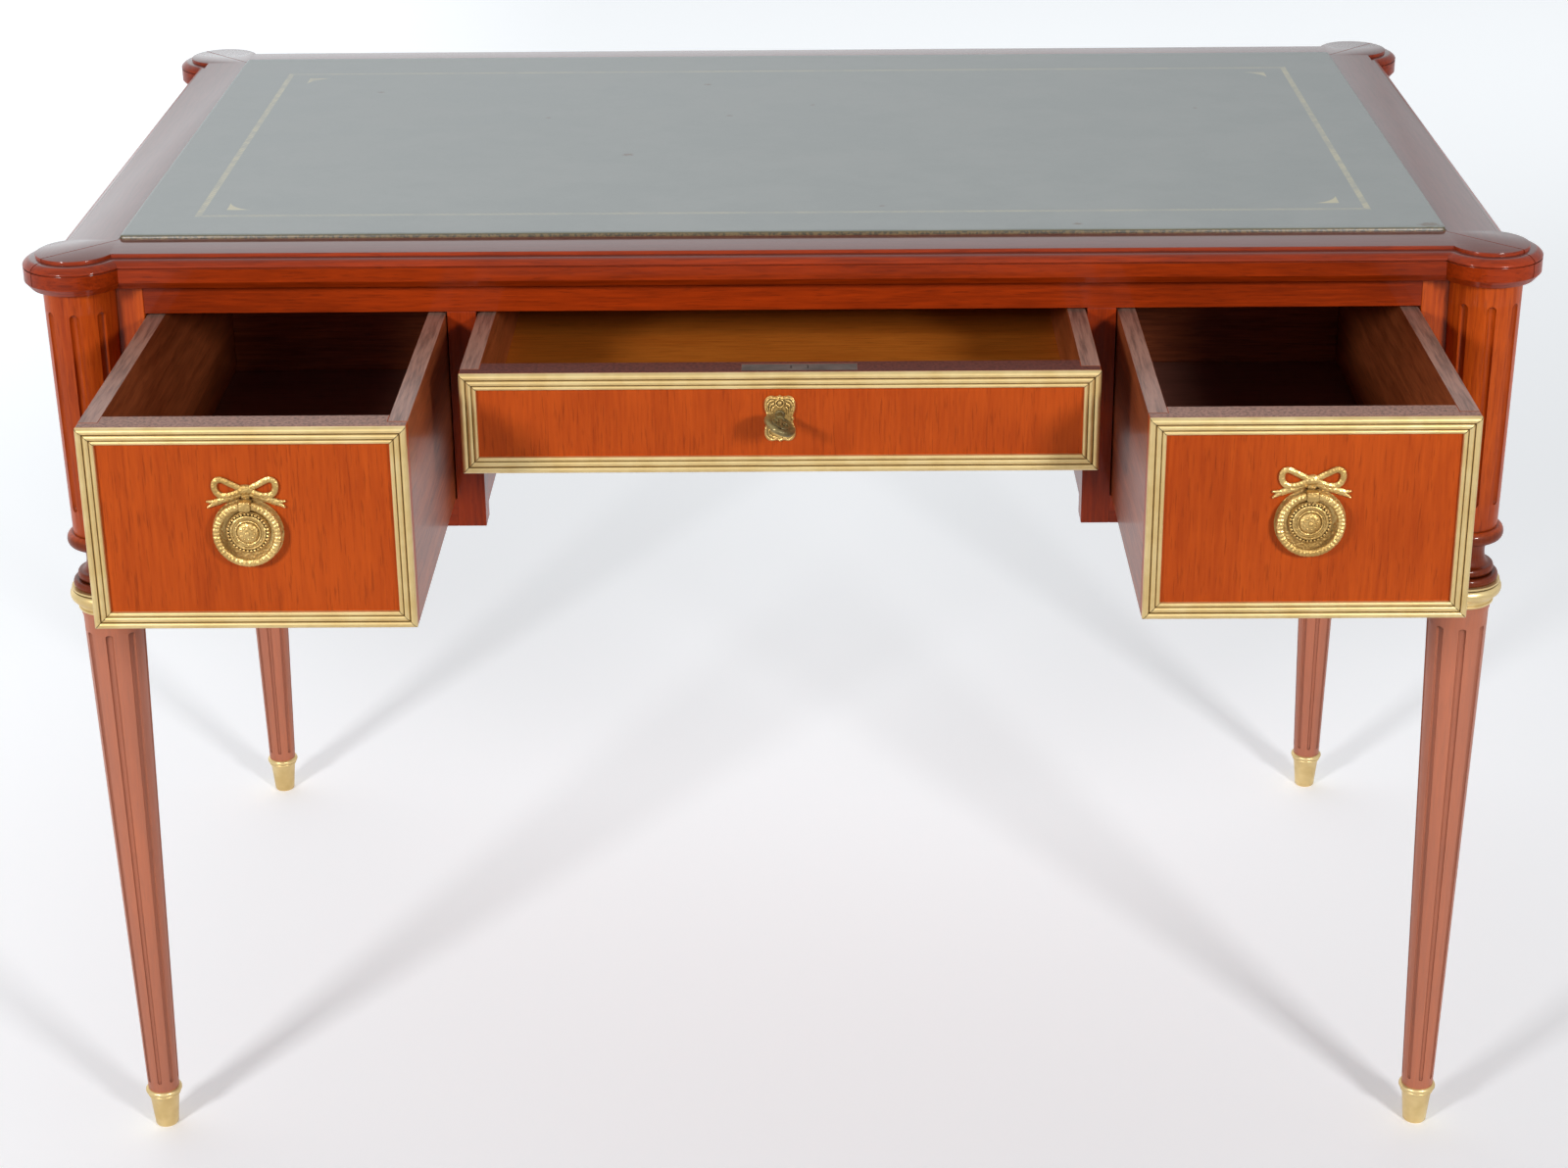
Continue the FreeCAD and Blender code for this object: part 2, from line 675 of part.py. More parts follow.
frame_middle = "(front_y + back_y) / 2"
side_frame_width = "leg_spread - 2 * (post_side + side_frame_margin)"
kickers = []
guides = []
side_frames = []
back_frames = [reeded_frame("frame_back_centre", "centre_drawer_width", "centre_drawer_height",
                            ("0", "back_y", "centre_drawer_bottom"), 180)]
stops = []
for side, sign, turn in (("left", "-", 270), ("right", "", 90)):
    # Left corners count from the outer end of a piece, right corners from the inner end
    bay = f"{sign}({'post_x' if sign else 'divider_outer'})"
    bay_width = "post_x - divider_outer"
    keep(box("bar_" + side, (bay, "front_y", "apron_bottom"),
             (bay_width, "rail_thickness", "bottom_rail_height")), "bottom_rail_" + side)
    keep(box("board_" + side, (bay, "rail_back", "bottom_rail_top - dustboard_thickness"),
             (bay_width, "carcass_deep", "dustboard_thickness")), "dustboard_" + side)
    upright = f"{sign}({'divider_outer' if sign else 'divider_inner'})"
    keep(box("upright_" + side, (upright, "front_y", "apron_bottom"),
             ("divider_width", "rail_thickness", "front_rail_bottom - apron_bottom")), "divider_" + side)
    wall = f"{sign}({'divider_outer' if sign else 'partition_inner'})"
    keep(box("wall_" + side, (wall, "rail_back", "apron_bottom"),
             ("partition_thickness", "carcass_deep", "front_rail_bottom - apron_bottom")),
         "partition_" + side)
    kicker_corner = (f"{sign}divider_centre - kicker_width / 2", "rail_back", "front_rail_bottom")
    kickers.append(box("kicker_" + side, kicker_corner,
                       ("kicker_width", "carcass_deep", "front_rail_height")))
    outer = "-leg_x" if sign else "leg_x - panel_thickness"
    keep(box("cheek_" + side, (outer, "front_y + post_side", "apron_bottom"),
             ("panel_thickness", "leg_spread - 2 * post_side", "under_top - apron_bottom")),
         "side_panel_" + side)
    strip = f"{sign}({'leg_x - panel_thickness' if sign else 'post_x'})"
    guide_corner = (strip, "front_y + post_side", "bottom_rail_top - dustboard_thickness")
    guides.append(box("guide_" + side, guide_corner,
                      ("post_side - panel_thickness", "leg_spread - 2 * post_side",
                       "dustboard_thickness + guide_height")))
    side_frames.append(reeded_frame("frame_" + side, side_frame_width, "side_drawer_height",
                                    (f"{sign}leg_x", frame_middle, "side_drawer_bottom"), turn))
    back_frames.append(reeded_frame("frame_back_" + side, "side_drawer_width", "side_drawer_height",
                                    (f"{sign}side_drawer_x", "back_y", "side_drawer_bottom"), 180))
    stop_y = "front_y + drawer_front_thickness + running_gap"
    stop_size = ("stop_width", "stop_depth", "stop_height")
    for spot in ("divider_outer + stop_inset", "post_x - stop_inset"):
        stop_corner = (f"{sign}({spot}) - stop_width / 2", stop_y, "bottom_rail_top")
        stops.append(box("stop_" + side, stop_corner, stop_size))
    stops.append(box("stop_centre", (f"{sign}(divider_inner - stop_inset) - stop_width / 2", stop_y,
                                     "centre_rail_top"), stop_size))
keep(group("kicker_pair", kickers), "kickers")
keep(group("guide_pair", guides), "drawer_guides")
keep(group("side_frames", side_frames), "side_mouldings")
keep(group("back_frames", back_frames), "back_mouldings")
keep(group("stop_set", stops), "drawer_stops")


# Drawers

def drawer(name, width, height, at, cuts=()):
    """A drawer whose front covers the ends of its sides; at is the lower middle of its face."""
    half = f"({width}) / 2"
    bottom_edge = "drawer_side_thickness - groove_depth"
    groove_start = "drawer_front_thickness - groove_depth"
    side_length = "drawer_length - drawer_lip"
    groove_height = "drawer_bottom_thickness"

    def part_box(part, corner, size):
        return box(f"{name}_{part}", moved(at, corner), size)

    blank = part_box("blank", (f"-{half}", "0", "0"), (width, "drawer_front_thickness", height))
    rebate_size = ("drawer_side_thickness + overrun", "drawer_front_thickness", f"{height} + 2 * overrun")
    left_rebate = part_box("left_rebate", (f"-{half} - overrun", "drawer_lip", "-overrun"), rebate_size)
    right_rebate = part_box("right_rebate", (f"{half} - drawer_side_thickness", "drawer_lip", "-overrun"),
                            rebate_size)
    front_groove = part_box("front_groove", (f"-{half}", groove_start, "drawer_bottom_lift"),
                            (width, "drawer_front_thickness", groove_height))
    keep(cut(name + "_face", blank, left_rebate, right_rebate, front_groove, *cuts), name + "_front")

    side_size = ("drawer_side_thickness", side_length, height)
    groove_size = ("groove_depth + overrun", "drawer_length", groove_height)
    for side, corner, groove_x in (
            ("left", f"-{half}", f"-{half} + {bottom_edge}"),
            ("right", f"{half} - drawer_side_thickness", f"{half} - drawer_side_thickness - overrun")):
        plank = part_box(side + "_plank", (corner, "drawer_lip", "0"), side_size)
        groove = part_box(side + "_groove", (groove_x, groove_start, "drawer_bottom_lift"), groove_size)
        keep(cut(f"{name}_{side}_grooved", plank, groove), f"{name}_side_{side}")

    back_foot = "drawer_bottom_lift + drawer_bottom_thickness"
    rear_corner = (f"-{half} + drawer_side_thickness", "drawer_length - drawer_back_thickness", back_foot)
    rear_size = (f"{width} - 2 * drawer_side_thickness", "drawer_back_thickness",
                 f"{height} - drawer_back_drop - ({back_foot})")
    keep(part_box("rear", rear_corner, rear_size), name + "_back")
    keep(part_box("base", (f"-{half} + {bottom_edge}", groove_start, "drawer_bottom_lift"),
                  (f"{width} - 2 * ({bottom_edge})", f"drawer_length - ({groove_start})", groove_height)),
         name + "_bottom")
    keep(reeded_frame(name + "_frame", width, height, at), name + "_moulding")


drawer("left_drawer", "side_drawer_width", "side_drawer_height",
       ("-side_drawer_x", "front_y - left_out", "side_drawer_bottom"))
drawer("right_drawer", "side_drawer_width", "side_drawer_height",
       ("side_drawer_x", "front_y - right_out", "side_drawer_bottom"))
lock_mortise = box("lock_mortise", ("lock_offset - lock_case_length / 2", "lock_case_y", "lock_case_z"),
                   ("lock_case_length", "lock_case_depth", "lock_case_height + overrun"))
plate_recess = box("plate_recess", ("lock_offset - lock_plate_length / 2", "centre_face + lock_plate_inset",
                                    "side_drawer_top - lock_plate_thickness"),
                   ("lock_plate_length", "lock_plate_width", "lock_plate_thickness + overrun"))
key_bore = rod("key_bore", ("0", "centre_face - overrun", "key_z"), "keyway_radius",
               "lock_case_inset + 2 * overrun", TO_BACK)
drawer("centre_drawer", "centre_drawer_width", "centre_drawer_height",
       ("0", "centre_face", "centre_drawer_bottom"), (lock_mortise, plate_recess, key_bore))


# Ring pulls

def ring_pull(side, at):
    """A plate with a bow over it and a knuckle, and the ring that hangs on a pin in the knuckle."""
    name = side + "_pull"
    bow_at = moved(at, ("0", "0", "bow_lift"))

    def ribbon(part, shares, reach, rise, mirror):
        """A flat piece of the bow, on its left where mirror is a minus sign."""
        flat = [(f"{mirror}({across}) * {reach}", f"({up}) * {rise}") for across, up in shares]
        drawn = outline(f"{name}_{part}_outline", flat if mirror else flat[::-1], "XZ", bow_at)
        return extruded(f"{name}_{part}", drawn, "bow_thickness")

    tiers = [
        prism(name + "_disc", at, "pull_plate_radius", "pull_plate_rim", TO_FRONT),
        prism(name + "_rosette", at, "rosette_radius", "rosette_height", TO_FRONT),
        prism(name + "_boss", at, "rosette_boss_radius", "rosette_height + rosette_boss_rise", TO_FRONT),
        box(name + "_knot",
            moved(bow_at, ("-bow_knot_width / 2", "-bow_thickness", "pull_ring_radius - bow_lift")),
            ("bow_knot_width", "bow_thickness", "bow_lift - pull_ring_radius + bow_knot_height / 2")),
        box(name + "_web",
            moved(at, ("-knuckle_width / 2", "-pull_ring_offset", "pull_ring_radius - knuckle_web / 2")),
            ("knuckle_width", "pull_ring_offset", "knuckle_web")),
        prism(name + "_barrel", moved(at, ("-knuckle_width / 2", "-pull_ring_offset", "pull_ring_radius")),
              "knuckle_radius", "knuckle_width", TO_RIGHT),
    ]
    for mirror in ("-", ""):
        loop = ribbon("loop", LOOP_SHARES, "bow_loop_reach", "bow_loop_rise", mirror)
        eye = ribbon("eye", LOOP_EYE_SHARES, "bow_loop_reach", "bow_loop_rise", mirror)
        tiers.append(cut(name + "_ribbon", loop, eye))
        tiers.append(ribbon("tail", TAIL_SHARES, "bow_tail_reach", "bow_tail_drop", mirror))
    bore = rod(name + "_bore", moved(at, ("-knuckle_width", "-pull_ring_offset", "pull_ring_radius")),
               "pin_radius + pin_gap", "2 * knuckle_width", TO_RIGHT)
    keep(cut(name + "_bored", fuse(name + "_mount", *tiers), bore), name + "_plate")

    ring_at = moved(at, ("0", "pull_ring_thickness / 2 - pull_ring_offset", "0"))
    hoop = prism(name + "_hoop", ring_at, "pull_ring_radius + pull_ring_band / 2",
                 "pull_ring_thickness", TO_FRONT)
    inside = prism(name + "_inside", ring_at, "pull_ring_radius - pull_ring_band / 2",
                   "pull_ring_thickness", TO_FRONT)
    gap = box(name + "_gap", moved(ring_at, ("-pin_half", "-pull_ring_thickness", "0")),
              ("2 * pin_half", "pull_ring_thickness", "2 * pull_ring_radius"))
    pin = rod(name + "_pin", moved(at, ("-pin_half - pin_hold", "-pull_ring_offset", "pull_ring_radius")),
              "pin_radius", "2 * (pin_half + pin_hold)", TO_RIGHT)
    keep(fuse(name + "_hung", cut(name + "_split", hoop, inside, gap), pin), name + "_ring")


ring_pull("left", ("-side_drawer_x", "front_y - left_out", "pull_z"))
ring_pull("right", ("side_drawer_x", "front_y - right_out", "pull_z"))


# Lock of the middle drawer

case = box("lock_body", ("lock_offset - lock_case_length / 2", "lock_case_y", "lock_case_z"),
           ("lock_case_length", "lock_case_depth", "lock_case_height"))
plate = box("lock_plate", ("lock_offset - lock_plate_length / 2", "centre_face + lock_plate_inset",
                           "side_drawer_top - lock_plate_thickness"),
            ("lock_plate_length", "lock_plate_width", "lock_plate_thickness"))
bolt_way = box("bolt_way", ("lock_offset - bolt_width / 2 - bolt_gap", "bolt_y - bolt_gap",
                            "side_drawer_top - bolt_length - bolt_gap"),
               ("bolt_width + 2 * bolt_gap", "bolt_thickness + 2 * bolt_gap", "bolt_length + overrun"))
keyway = rod("keyway", ("0", "centre_face", "key_z"), "keyway_radius", "keyway_end", TO_BACK)
keep(cut("lock_hollow", fuse("lock_blank", case, plate), bolt_way, keyway), "lock_case")
keep(box("bolt_bar", ("lock_offset - bolt_width / 2", "bolt_y", "side_drawer_top - bolt_length"),
         ("bolt_width", "bolt_thickness", "bolt_length")), "lock_bolt")

quarter = [(f"{across} * escutcheon_width / 2", f"{up} * escutcheon_height / 2")
           for across, up in SHIELD_SHARES]
right_half = [(across, f"-({up})") for across, up in quarter[:0:-1]] + quarter
left_half = [(f"-({across})", up) for across, up in right_half[::-1]]
shield = outline("escutcheon_outline", right_half + left_half, "XZ",
                 ("0", "centre_face", "key_z - escutcheon_drop"))
keyhole = prism("keyhole", ("0", "centre_face + overrun", "key_z"), "key_hole_radius",
                "escutcheon_thickness + 2 * overrun", TO_FRONT)
shield_plate = extruded("escutcheon_blank", shield, "escutcheon_thickness")
keep(cut("escutcheon_cut", shield_plate, keyhole), "escutcheon")

shank = prism("key_shank", ("0", "key_reach", "0"), "key_shank_radius", "key_reach + key_stem", TO_FRONT)
bit = box("key_bit", ("0", "key_reach - key_bit_length", "-key_bit_thickness / 2"),
          ("key_bit_reach", "key_bit_length", "key_bit_thickness"))
bow_y = "-(key_stem + key_bow_radius) + key_shank_radius"
bow = prism("key_bow", ("0", bow_y, "-key_bow_thickness / 2"), "key_bow_radius", "key_bow_thickness")
eyes = [prism("key_eye", (f"{side}key_bow_spread", bow_y, "-key_bow_thickness"), "key_bow_hole",
              "2 * key_bow_thickness") for side in ("-", "")]
key = cut("key_pierced", fuse("key_whole", shank, bit, bow), *eyes)
place(key, ("0", "centre_face", "key_z"), FreeCAD.Rotation(FreeCAD.Vector(0, 1, 0), 1))
bind(key, **{"Placement.Rotation.Angle": "key_turn"})
keep(key, "key")


# Pieces handed in

doc.recompute()
for thing in doc.Objects:
    if "Invalid" in thing.State or "Error" in thing.State:
        raise RuntimeError(f"{thing.Name} did not build: {thing.State}")
os.makedirs("parts", exist_ok=True)
for piece in pieces:
    if piece.Shape.isNull() or not piece.Shape.isValid():
        raise RuntimeError(f"{piece.Label} has no sound shape")
    piece.Shape.exportStep(f"parts/{piece.Label}.step")
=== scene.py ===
import math

import bmesh
import bpy
from mathutils import Matrix, Vector


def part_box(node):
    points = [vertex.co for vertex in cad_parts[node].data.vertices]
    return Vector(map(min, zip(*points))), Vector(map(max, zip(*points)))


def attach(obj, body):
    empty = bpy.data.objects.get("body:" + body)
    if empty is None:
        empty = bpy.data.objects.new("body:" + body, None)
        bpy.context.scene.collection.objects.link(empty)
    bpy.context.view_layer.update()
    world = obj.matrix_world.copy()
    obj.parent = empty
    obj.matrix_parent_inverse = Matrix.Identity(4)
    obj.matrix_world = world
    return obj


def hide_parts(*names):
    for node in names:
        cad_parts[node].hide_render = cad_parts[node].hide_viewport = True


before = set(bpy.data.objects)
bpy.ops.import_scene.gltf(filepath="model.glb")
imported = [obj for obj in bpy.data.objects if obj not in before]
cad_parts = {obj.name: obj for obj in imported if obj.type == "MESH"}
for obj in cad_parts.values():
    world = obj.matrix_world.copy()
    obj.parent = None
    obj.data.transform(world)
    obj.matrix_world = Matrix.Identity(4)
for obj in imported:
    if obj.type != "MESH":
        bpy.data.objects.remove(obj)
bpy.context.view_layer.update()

# Writing desk with a leather-lined top, three drawers and turned, fluted legs.
# Lengths are in millimetres in the desk's own frame until a piece is made, which is in metres.
# A swell is (start, end, rise, steps) of a half-round moulding. A strip is (half widths at its start
# and end, rise, lift) of a bead.
MM = 0.001
POINT_WELD = 0.005
SHARP_ANGLE = 32
DRAWERS = ("left_drawer", "right_drawer", "centre_drawer")

# Top
TOP_HEIGHT = 760
TOP_WIDTH = 1064
TOP_DEPTH = 634
TOP_THICKNESS = 25
FRAME_MARGIN = 36
EAR_INSET = 10
EAR_RADIUS = 29.7
EAR_MITRE = -135
ARRIS_ROUND = 0.7
ARRIS_MIDDLE = 0.3
FILLET_DROP = 2.7
LEDGE_REACH = 3.2
NOSE_TOP = 3
NOSE_BOTTOM = 8.5
NOSE_FOOT_REACH = 8.9
NOSE_RISE = 2.5
NOSE_STEPS = 12
QUIRK_DEPTH = 0.5
QUIRK_HEIGHT = 0.7
FASCIA_REACH = 9.7
FASCIA_BOTTOM = 19.5
EDGE_FOOT_REACH = 5.2
MITRE_GAP = 0.45
LEATHER_ROUND = 2.6
LEATHER_STEPS = 6
LEATHER_CORNER = 3

# Legs
POST_SIDE = 46.5
POST_ROUND = 0.8
UNDER_TOP = TOP_HEIGHT - TOP_THICKNESS
APRON_BOTTOM = 538
COLUMN_TOP_RADIUS = 27
COLUMN_FOOT_RADIUS = 24
TORUS_FOOT = 527
SCOTIA_FOOT = 506
COLLAR_TOP = 493
COLLAR_FOOT = 470
TORUS_SEAT = 24.8
TORUS_RISE = 4.2
NECK_RADIUS = 20.4
NECK_STEP = 1
NECK_DROP = 0.8
SCOTIA_DEPTH = 4.2
SCOTIA_STEPS = 12
NECK_RINGS = ((22.2, 1.6), (25.6, 2.1))
NECK_RING_STEPS = 8
LEG_TOP_RADIUS = 23.2
LEG_FOOT_RADIUS = 12.7
FLUTES = 8
FLUTE_HALF_SHARE = 0.165
FLUTE_DEPTH_SHARE = 0.115
LEAST_FLUTE_SHARE = 0.04
FLUTE_STEPS = (-1, -0.94, -0.78, -0.5, -0.2, 0.2, 0.5, 0.78, 0.94, 1)
FLUTE_END_ROWS = 8
LAND_SHARES = (0.25, 0.5, 0.75)
COLUMN_FLUTES = (3, 4, 5, 6, 7)
COLUMN_FLUTE_SPAN = (558, 718)
LEG_FLUTE_SPAN = (44, 457)

# Collars as (radius, below the top) and foot cups as (radius, height)
COLLAR_SEAT = 23.8
COLLAR_GAP = 0.05
COLLAR_LIP = ((29.4, 0), (29.4, 1.4), (28.2, 1.8))
COLLAR_TORUS = ((28, 2.2), (27.2, 11.6), 3.6, 12)
COLLAR_STEP = (26, 12)
COLLAR_WAIST = ((25.6, 12.4), (25, 16), -0.7, 6)
COLLAR_BEAD = ((25, 16.2), (24.6, 18.6), 1.1, 6)
CUP_HEIGHT = 36
CUP_BODY = ((0, 0), (8.6, 0), (9.5, 1.2), (10.1, 8), (11.2, 20), (12.1, 28))
CUP_BEAD = ((12.3, 28.4), (12.6, 31.2), 1.1, 6)
CUP_FLANGE_SEAT = (13.2, 31.4)
CUP_FLANGE_RISE = 1.9
CUP_FLANGE_STEPS = 8
CUP_GAP = 0.2

# Reeded frames, as (width, rise) from the outer edge inwards
REEDS = ((4.6, 1.7), (4.2, 1.3), (3.2, 0.9))
REED_BASE = 2.2
REED_STEPS = 8
REED_SINK = 0.5
REED_MITRE_GAP = 0.3

# Ring pulls, each about the middle of its plate; the rosette is (radius, forward) and a ring of beads
# is (circle, forward, count, radius)
PULL_Z = 632.55
ROSETTE_EDGE = ((24.2, 0), (24.4, 0.9))
ROSETTE_RIM = ((24.2, 1), (22, 1), 0.8, 6)
ROSETTE_STEPS = ((21.4, 0.9), (15.4, 0.8), (15, 2.6), (14.6, 2.9), (12.7, 2.9), (12.4, 3.9), (11.8, 4.2),
                 (11, 4.1), (10.4, 3.3), (9.4, 3.2), (9, 4), (8.5, 4.2), (8, 4), (7.6, 3.6), (7.2, 4.4),
                 (6, 5.2), (4, 5.6), (0, 5.7))
ROSETTE_SIDES = 72
BEADS = (13.6, 3.1, 34, 1.15)
DOTS = (4.4, 5.2, 9, 1.0)
BOSS_FORWARD = 5.5
BOSS_RADII = (1.8, 1.2, 1.8)
BOW_LIFT = 31
BOW_LOOP = ((3, 0.5), (10, 4.2), (16.5, 7.2), (20.3, 5.2), (20.6, 0), (17.5, -4), (11, -4.4), (4, -1.6))
BOW_TAIL = ((2, -3), (9, -6), (16, -7.8), (21, -9.5))
BOW_PRONGS = (((20.5, -9.2), (24, -9), (27, -8.6)), ((20.5, -9.8), (24, -11.6), (26.6, -13.2)))
BOW_LOOP_STRIP = ((2.25, 2.25), 1.5, 1.3)
BOW_TAIL_STRIP = ((2.0, 2.6), 1.35, 1.1)
BOW_PRONG_STRIP = ((1.9, 0.7), 1.1, 1)
KNOT_RADII = (5.6, 2.6, 4.2)
KNOT_FORWARD = 1.2
KNOT_DROP = 0.5
STRAP_DROPS = (2, 6)
STRAP_STRIP = ((3.4, 3), 1.6, 1.4)
KNUCKLE_RADIUS = 3.4
KNUCKLE_WIDTH = 8
KNUCKLE_FRONT_INSET = 0.2
KNUCKLE_BACK = 0.5
KNUCKLE_ROUND = 0.7
PULL_RING_RADIUS = 21
PULL_RING_OFFSET = 6.4
PULL_RING_HALF_BAND = 2.8
PULL_RING_HALF_THICK = 2.2
RING_END_GAP = 0.4
RING_SIDES = 16
RING_LUMPS = 44
RING_LUMP_ROWS = 8
RING_CHASE = 0.36
RING_EDGE_CHASE = 0.6
RING_FACE_CHASE = 1.6
PIN_RADIUS = 1.5
PIN_HOLD = 2
PIN_SIDES = 20

# Escutcheon, as shares of its half sizes or as (across, up) lines on its right half
ESCUTCHEON_DROP = 3.2
ESCUTCHEON_HALF_WIDTH = 11
ESCUTCHEON_HALF_HEIGHT = 17.5
SHIELD = ((0.92, 0), (0.84, 0.09), (0.9, 0.25), (1, 0.48), (0.98, 0.72), (0.82, 0.9), (0.56, 0.97),
          (0.3, 0.94), (0.14, 0.95), (0, 1))
SHIELD_STEPS = 6
SHIELD_LEVELS = ((1, 0), (1, 1.1), (0.96, 1.6))
KEYHOLE_RADIUS = 2.9
KEYHOLE_LEVELS = (1.2, 0)
SHIELD_BORDER = (0.9, 0.92)
SHIELD_BORDER_STRIP = ((0.9, 0.9), 0.9, 1.4)
SCROLL = ((2, -14.4), (6, -13), (8, -9.6), (6, -7.2), (4.4, -8.6), (5.2, -10.4))
LEAVES = (((4, 14), (7, 13), (8.6, 10), (8.4, 6.6)), ((4.2, 11.4), (6, 10.6), (7, 8.4), (6.6, 5.4)),
          ((4, 8.6), (5, 8), (5.4, 6), (5, 3.6)))
LEAF_STRIP = ((1.0, 0.6), 1.0, 1.4)
FINE_STRIP_SIDES = 8
STUD_Z = 11.6
STUD_RADII = (1.9, 1.3, 1.9)
STUD_RIM_RADIUS = 2.9
STUD_RIM_POINTS = 24
STUD_RIM_STRIP = ((0.6, 0.6), 0.8, 1.5)
STUD_FORWARD = 1.5

# Key, with its shank as (radius, forward) and its bow as (across, along) about the middle of the bow
KEY_Z = 677
KEY_TURN = 25
KEY_SHANK = ((0, -14), (2.6, -14), (2.6, 1.6), (3.6, 2), (3.6, 3.4), (2.7, 4), (2.4, 12), (3.4, 13),
             (3.6, 14.4), (2.6, 15.4), (2.2, 17.4), (0, 17.6))
KEY_SHANK_SIDES = 28
KEY_BOW_Y = -24
KEY_BOW_RADII = (9.8, 13.6)
KEY_BOW_POINTS = 48
KEY_RIM_STRIP = ((2.0, 2.0), 2.1)
KEY_WEB_HALF = 1.3
KEY_LOBE = ((0, -8), (4, -6.4), (6.4, -2), (5, 3.6), (2, 2), (3, -1.6))
KEY_LOBE_STRIP = ((1.2, 0.9), 2.1)
KEY_STEM = ((0, -10), (0, 0), (0, 12))
KEY_STEM_STRIP = ((1.2, 2.0), 2.2)
KEY_BIT = ((0, 8, -1), (6.4, 13.6, 1))
KEY_BIT_ROUND = 0.3

# Lock screws, as (radius, height); a lip is one side of the slot
SCREW_HEAD = ((0, -0.6), (2.6, -0.6), (2.6, 0.1), (2.2, 0.35), (0, 0.35))
SCREW_SIDES = 24
SCREW_LIP_STARTS = (-0.8, 0.3)
SCREW_LIP_WIDTH = 0.5
SCREW_LIP_HALF_LENGTH = 2.2
SCREW_LIP_HEIGHTS = (0.1, 0.5)
SCREW_LIP_ROUND = 0.1
SCREW_INSET = 7
SCREW_SINK = 0.2
SCREW_TURN = 30
LOCK_PLATE_MIDDLE = 10.5

# Edges of the pieces that keep their CAD shape
CORNER_WELD = 0.01
EDGE_SOFTNESS = 0.6

# Camera
CAMERA_PLACE = (27.35, -2347.47, 1409.88)
CAMERA_SENSOR = 36
CAMERA_LENS = 69.263
CAMERA_YAW = 0.73
CAMERA_PITCH = -23.25
CAMERA_ROLL = 0.57


# Meshes, as (points, faces)

def skin(rows, ring=True, ends=True):
    """Faces over rows of points; each row closes on itself where ring is true."""
    count = len(rows[0])
    points = [point for row in rows for point in row]
    faces = []
    for row in range(len(rows) - 1):
        for step in range(count if ring else count - 1):
            start = row * count + step
            following = row * count + (step + 1) % count
            faces.append((start, following, following + count, start + count))
    if ends:
        faces.append(tuple(range(count)))
        faces.append(tuple(range(len(points) - count, len(points))))
    return points, faces


def joined(*meshes):
    """One mesh of several."""
    points, faces = [], []
    for some_points, some_faces in meshes:
        faces += [tuple(len(points) + index for index in face) for face in some_faces]
        points += some_points
    return points, faces


def placed(mesh, at=(0, 0, 0), turn=0, axis="Z"):
    """The mesh turned by degrees about an axis through the origin, then moved."""
    matrix = Matrix.Translation(at) @ Matrix.Rotation(math.radians(turn), 4, axis)
    return [tuple(matrix @ Vector(point)) for point in mesh[0]], mesh[1]


def mirrored(mesh):
    """The mesh with left and right changed over."""
    return [(-x, y, z) for x, y, z in mesh[0]], [face[::-1] for face in mesh[1]]


def turn_angles(count):
    """Angles spaced evenly over a whole turn."""
    return [2 * math.pi * step / count for step in range(count)]


def oval(half_x, half_z, count, middle_z=0, start=0):
    """(across, up) points round an oval, from a start in degrees."""
    angles = [a + math.radians(start) for a in turn_angles(count)]
    return [(half_x * math.cos(a), half_z * math.sin(a) + middle_z) for a in angles]


def lathe(profile, sides=64, ends=True):
    """A turned piece about Z from (radius, height) points."""
    angles = turn_angles(sides)
    return skin([[(radius * math.cos(a), radius * math.sin(a), height) for a in angles]
                 for radius, height in profile], ends=ends)


def facing(profile, sides):
    """A turned piece about Y from (radius, forward) points; forward is towards -Y."""
    points, faces = lathe(profile, sides)
    return [(x, -z, y) for x, y, z in points], faces


def bulge(start, end, rise, steps=10):
    """A half-round moulding between two (radius, height) points, hollow where rise is negative."""
    points = []
    for step in range(steps + 1):
        angle = math.pi * step / steps
        share = (1 - math.cos(angle)) / 2
        points.append((start[0] + (end[0] - start[0]) * share + rise * math.sin(angle),
                       start[1] + (end[1] - start[1]) * share))
    return points


def smooth_path(points, steps=8, closed=False):
    """A curve through the points."""
    count = len(points)
    path = []
    for index in range(count if closed else count - 1):
        if closed:
            a, b, c, d = (points[(index + shift) % count] for shift in (-1, 0, 1, 2))
        else:
            a, b, c, d = (points[min(max(index + shift, 0), count - 1)] for shift in (-1, 0, 1, 2))
        for step in range(steps):
            t = step / steps
            path.append(tuple(0.5 * (2 * q + (r - p) * t + (2 * p - 5 * q + 4 * r - s) * t * t
                                     + (3 * q - p - 3 * r + s) * t ** 3)
                              for p, q, r, s in zip(a, b, c, d)))
    return path if closed else path + [tuple(points[-1])]


def bead(path, half_widths, rise, lift=0, closed=False, sides=12):
    """A rounded strip along (across, up) points, facing -Y; half_widths are those of its start and end."""
    rows = []
    last = len(path) - 1
    for index, (x, z) in enumerate(path):
        before = path[index - 1] if closed or index else path[0]
        after = path[(index + 1) % len(path)] if closed or index < last else path[last]
        along = Vector((after[0] - before[0], after[1] - before[1])).normalized()
        half = half_widths[0] + (half_widths[1] - half_widths[0]) * index / last
        rows.append([(x - along.y * half * math.cos(a), -(lift + rise * math.sin(a)),
                      z + along.x * half * math.cos(a)) for a in turn_angles(sides)])
    return skin(rows + rows[:1], ends=False) if closed else skin(rows)


def ball(centre, radii, sides=12, steps=6):
    """A small round bead, or an oval one where radii differ."""
    profile = [(math.sin(a), -math.cos(a)) for a in (math.pi * step / steps for step in range(steps + 1))]
    points, faces = lathe(profile, sides, ends=False)
    return placed(([tuple(p * r for p, r in zip(point, radii)) for point in points], faces), centre)


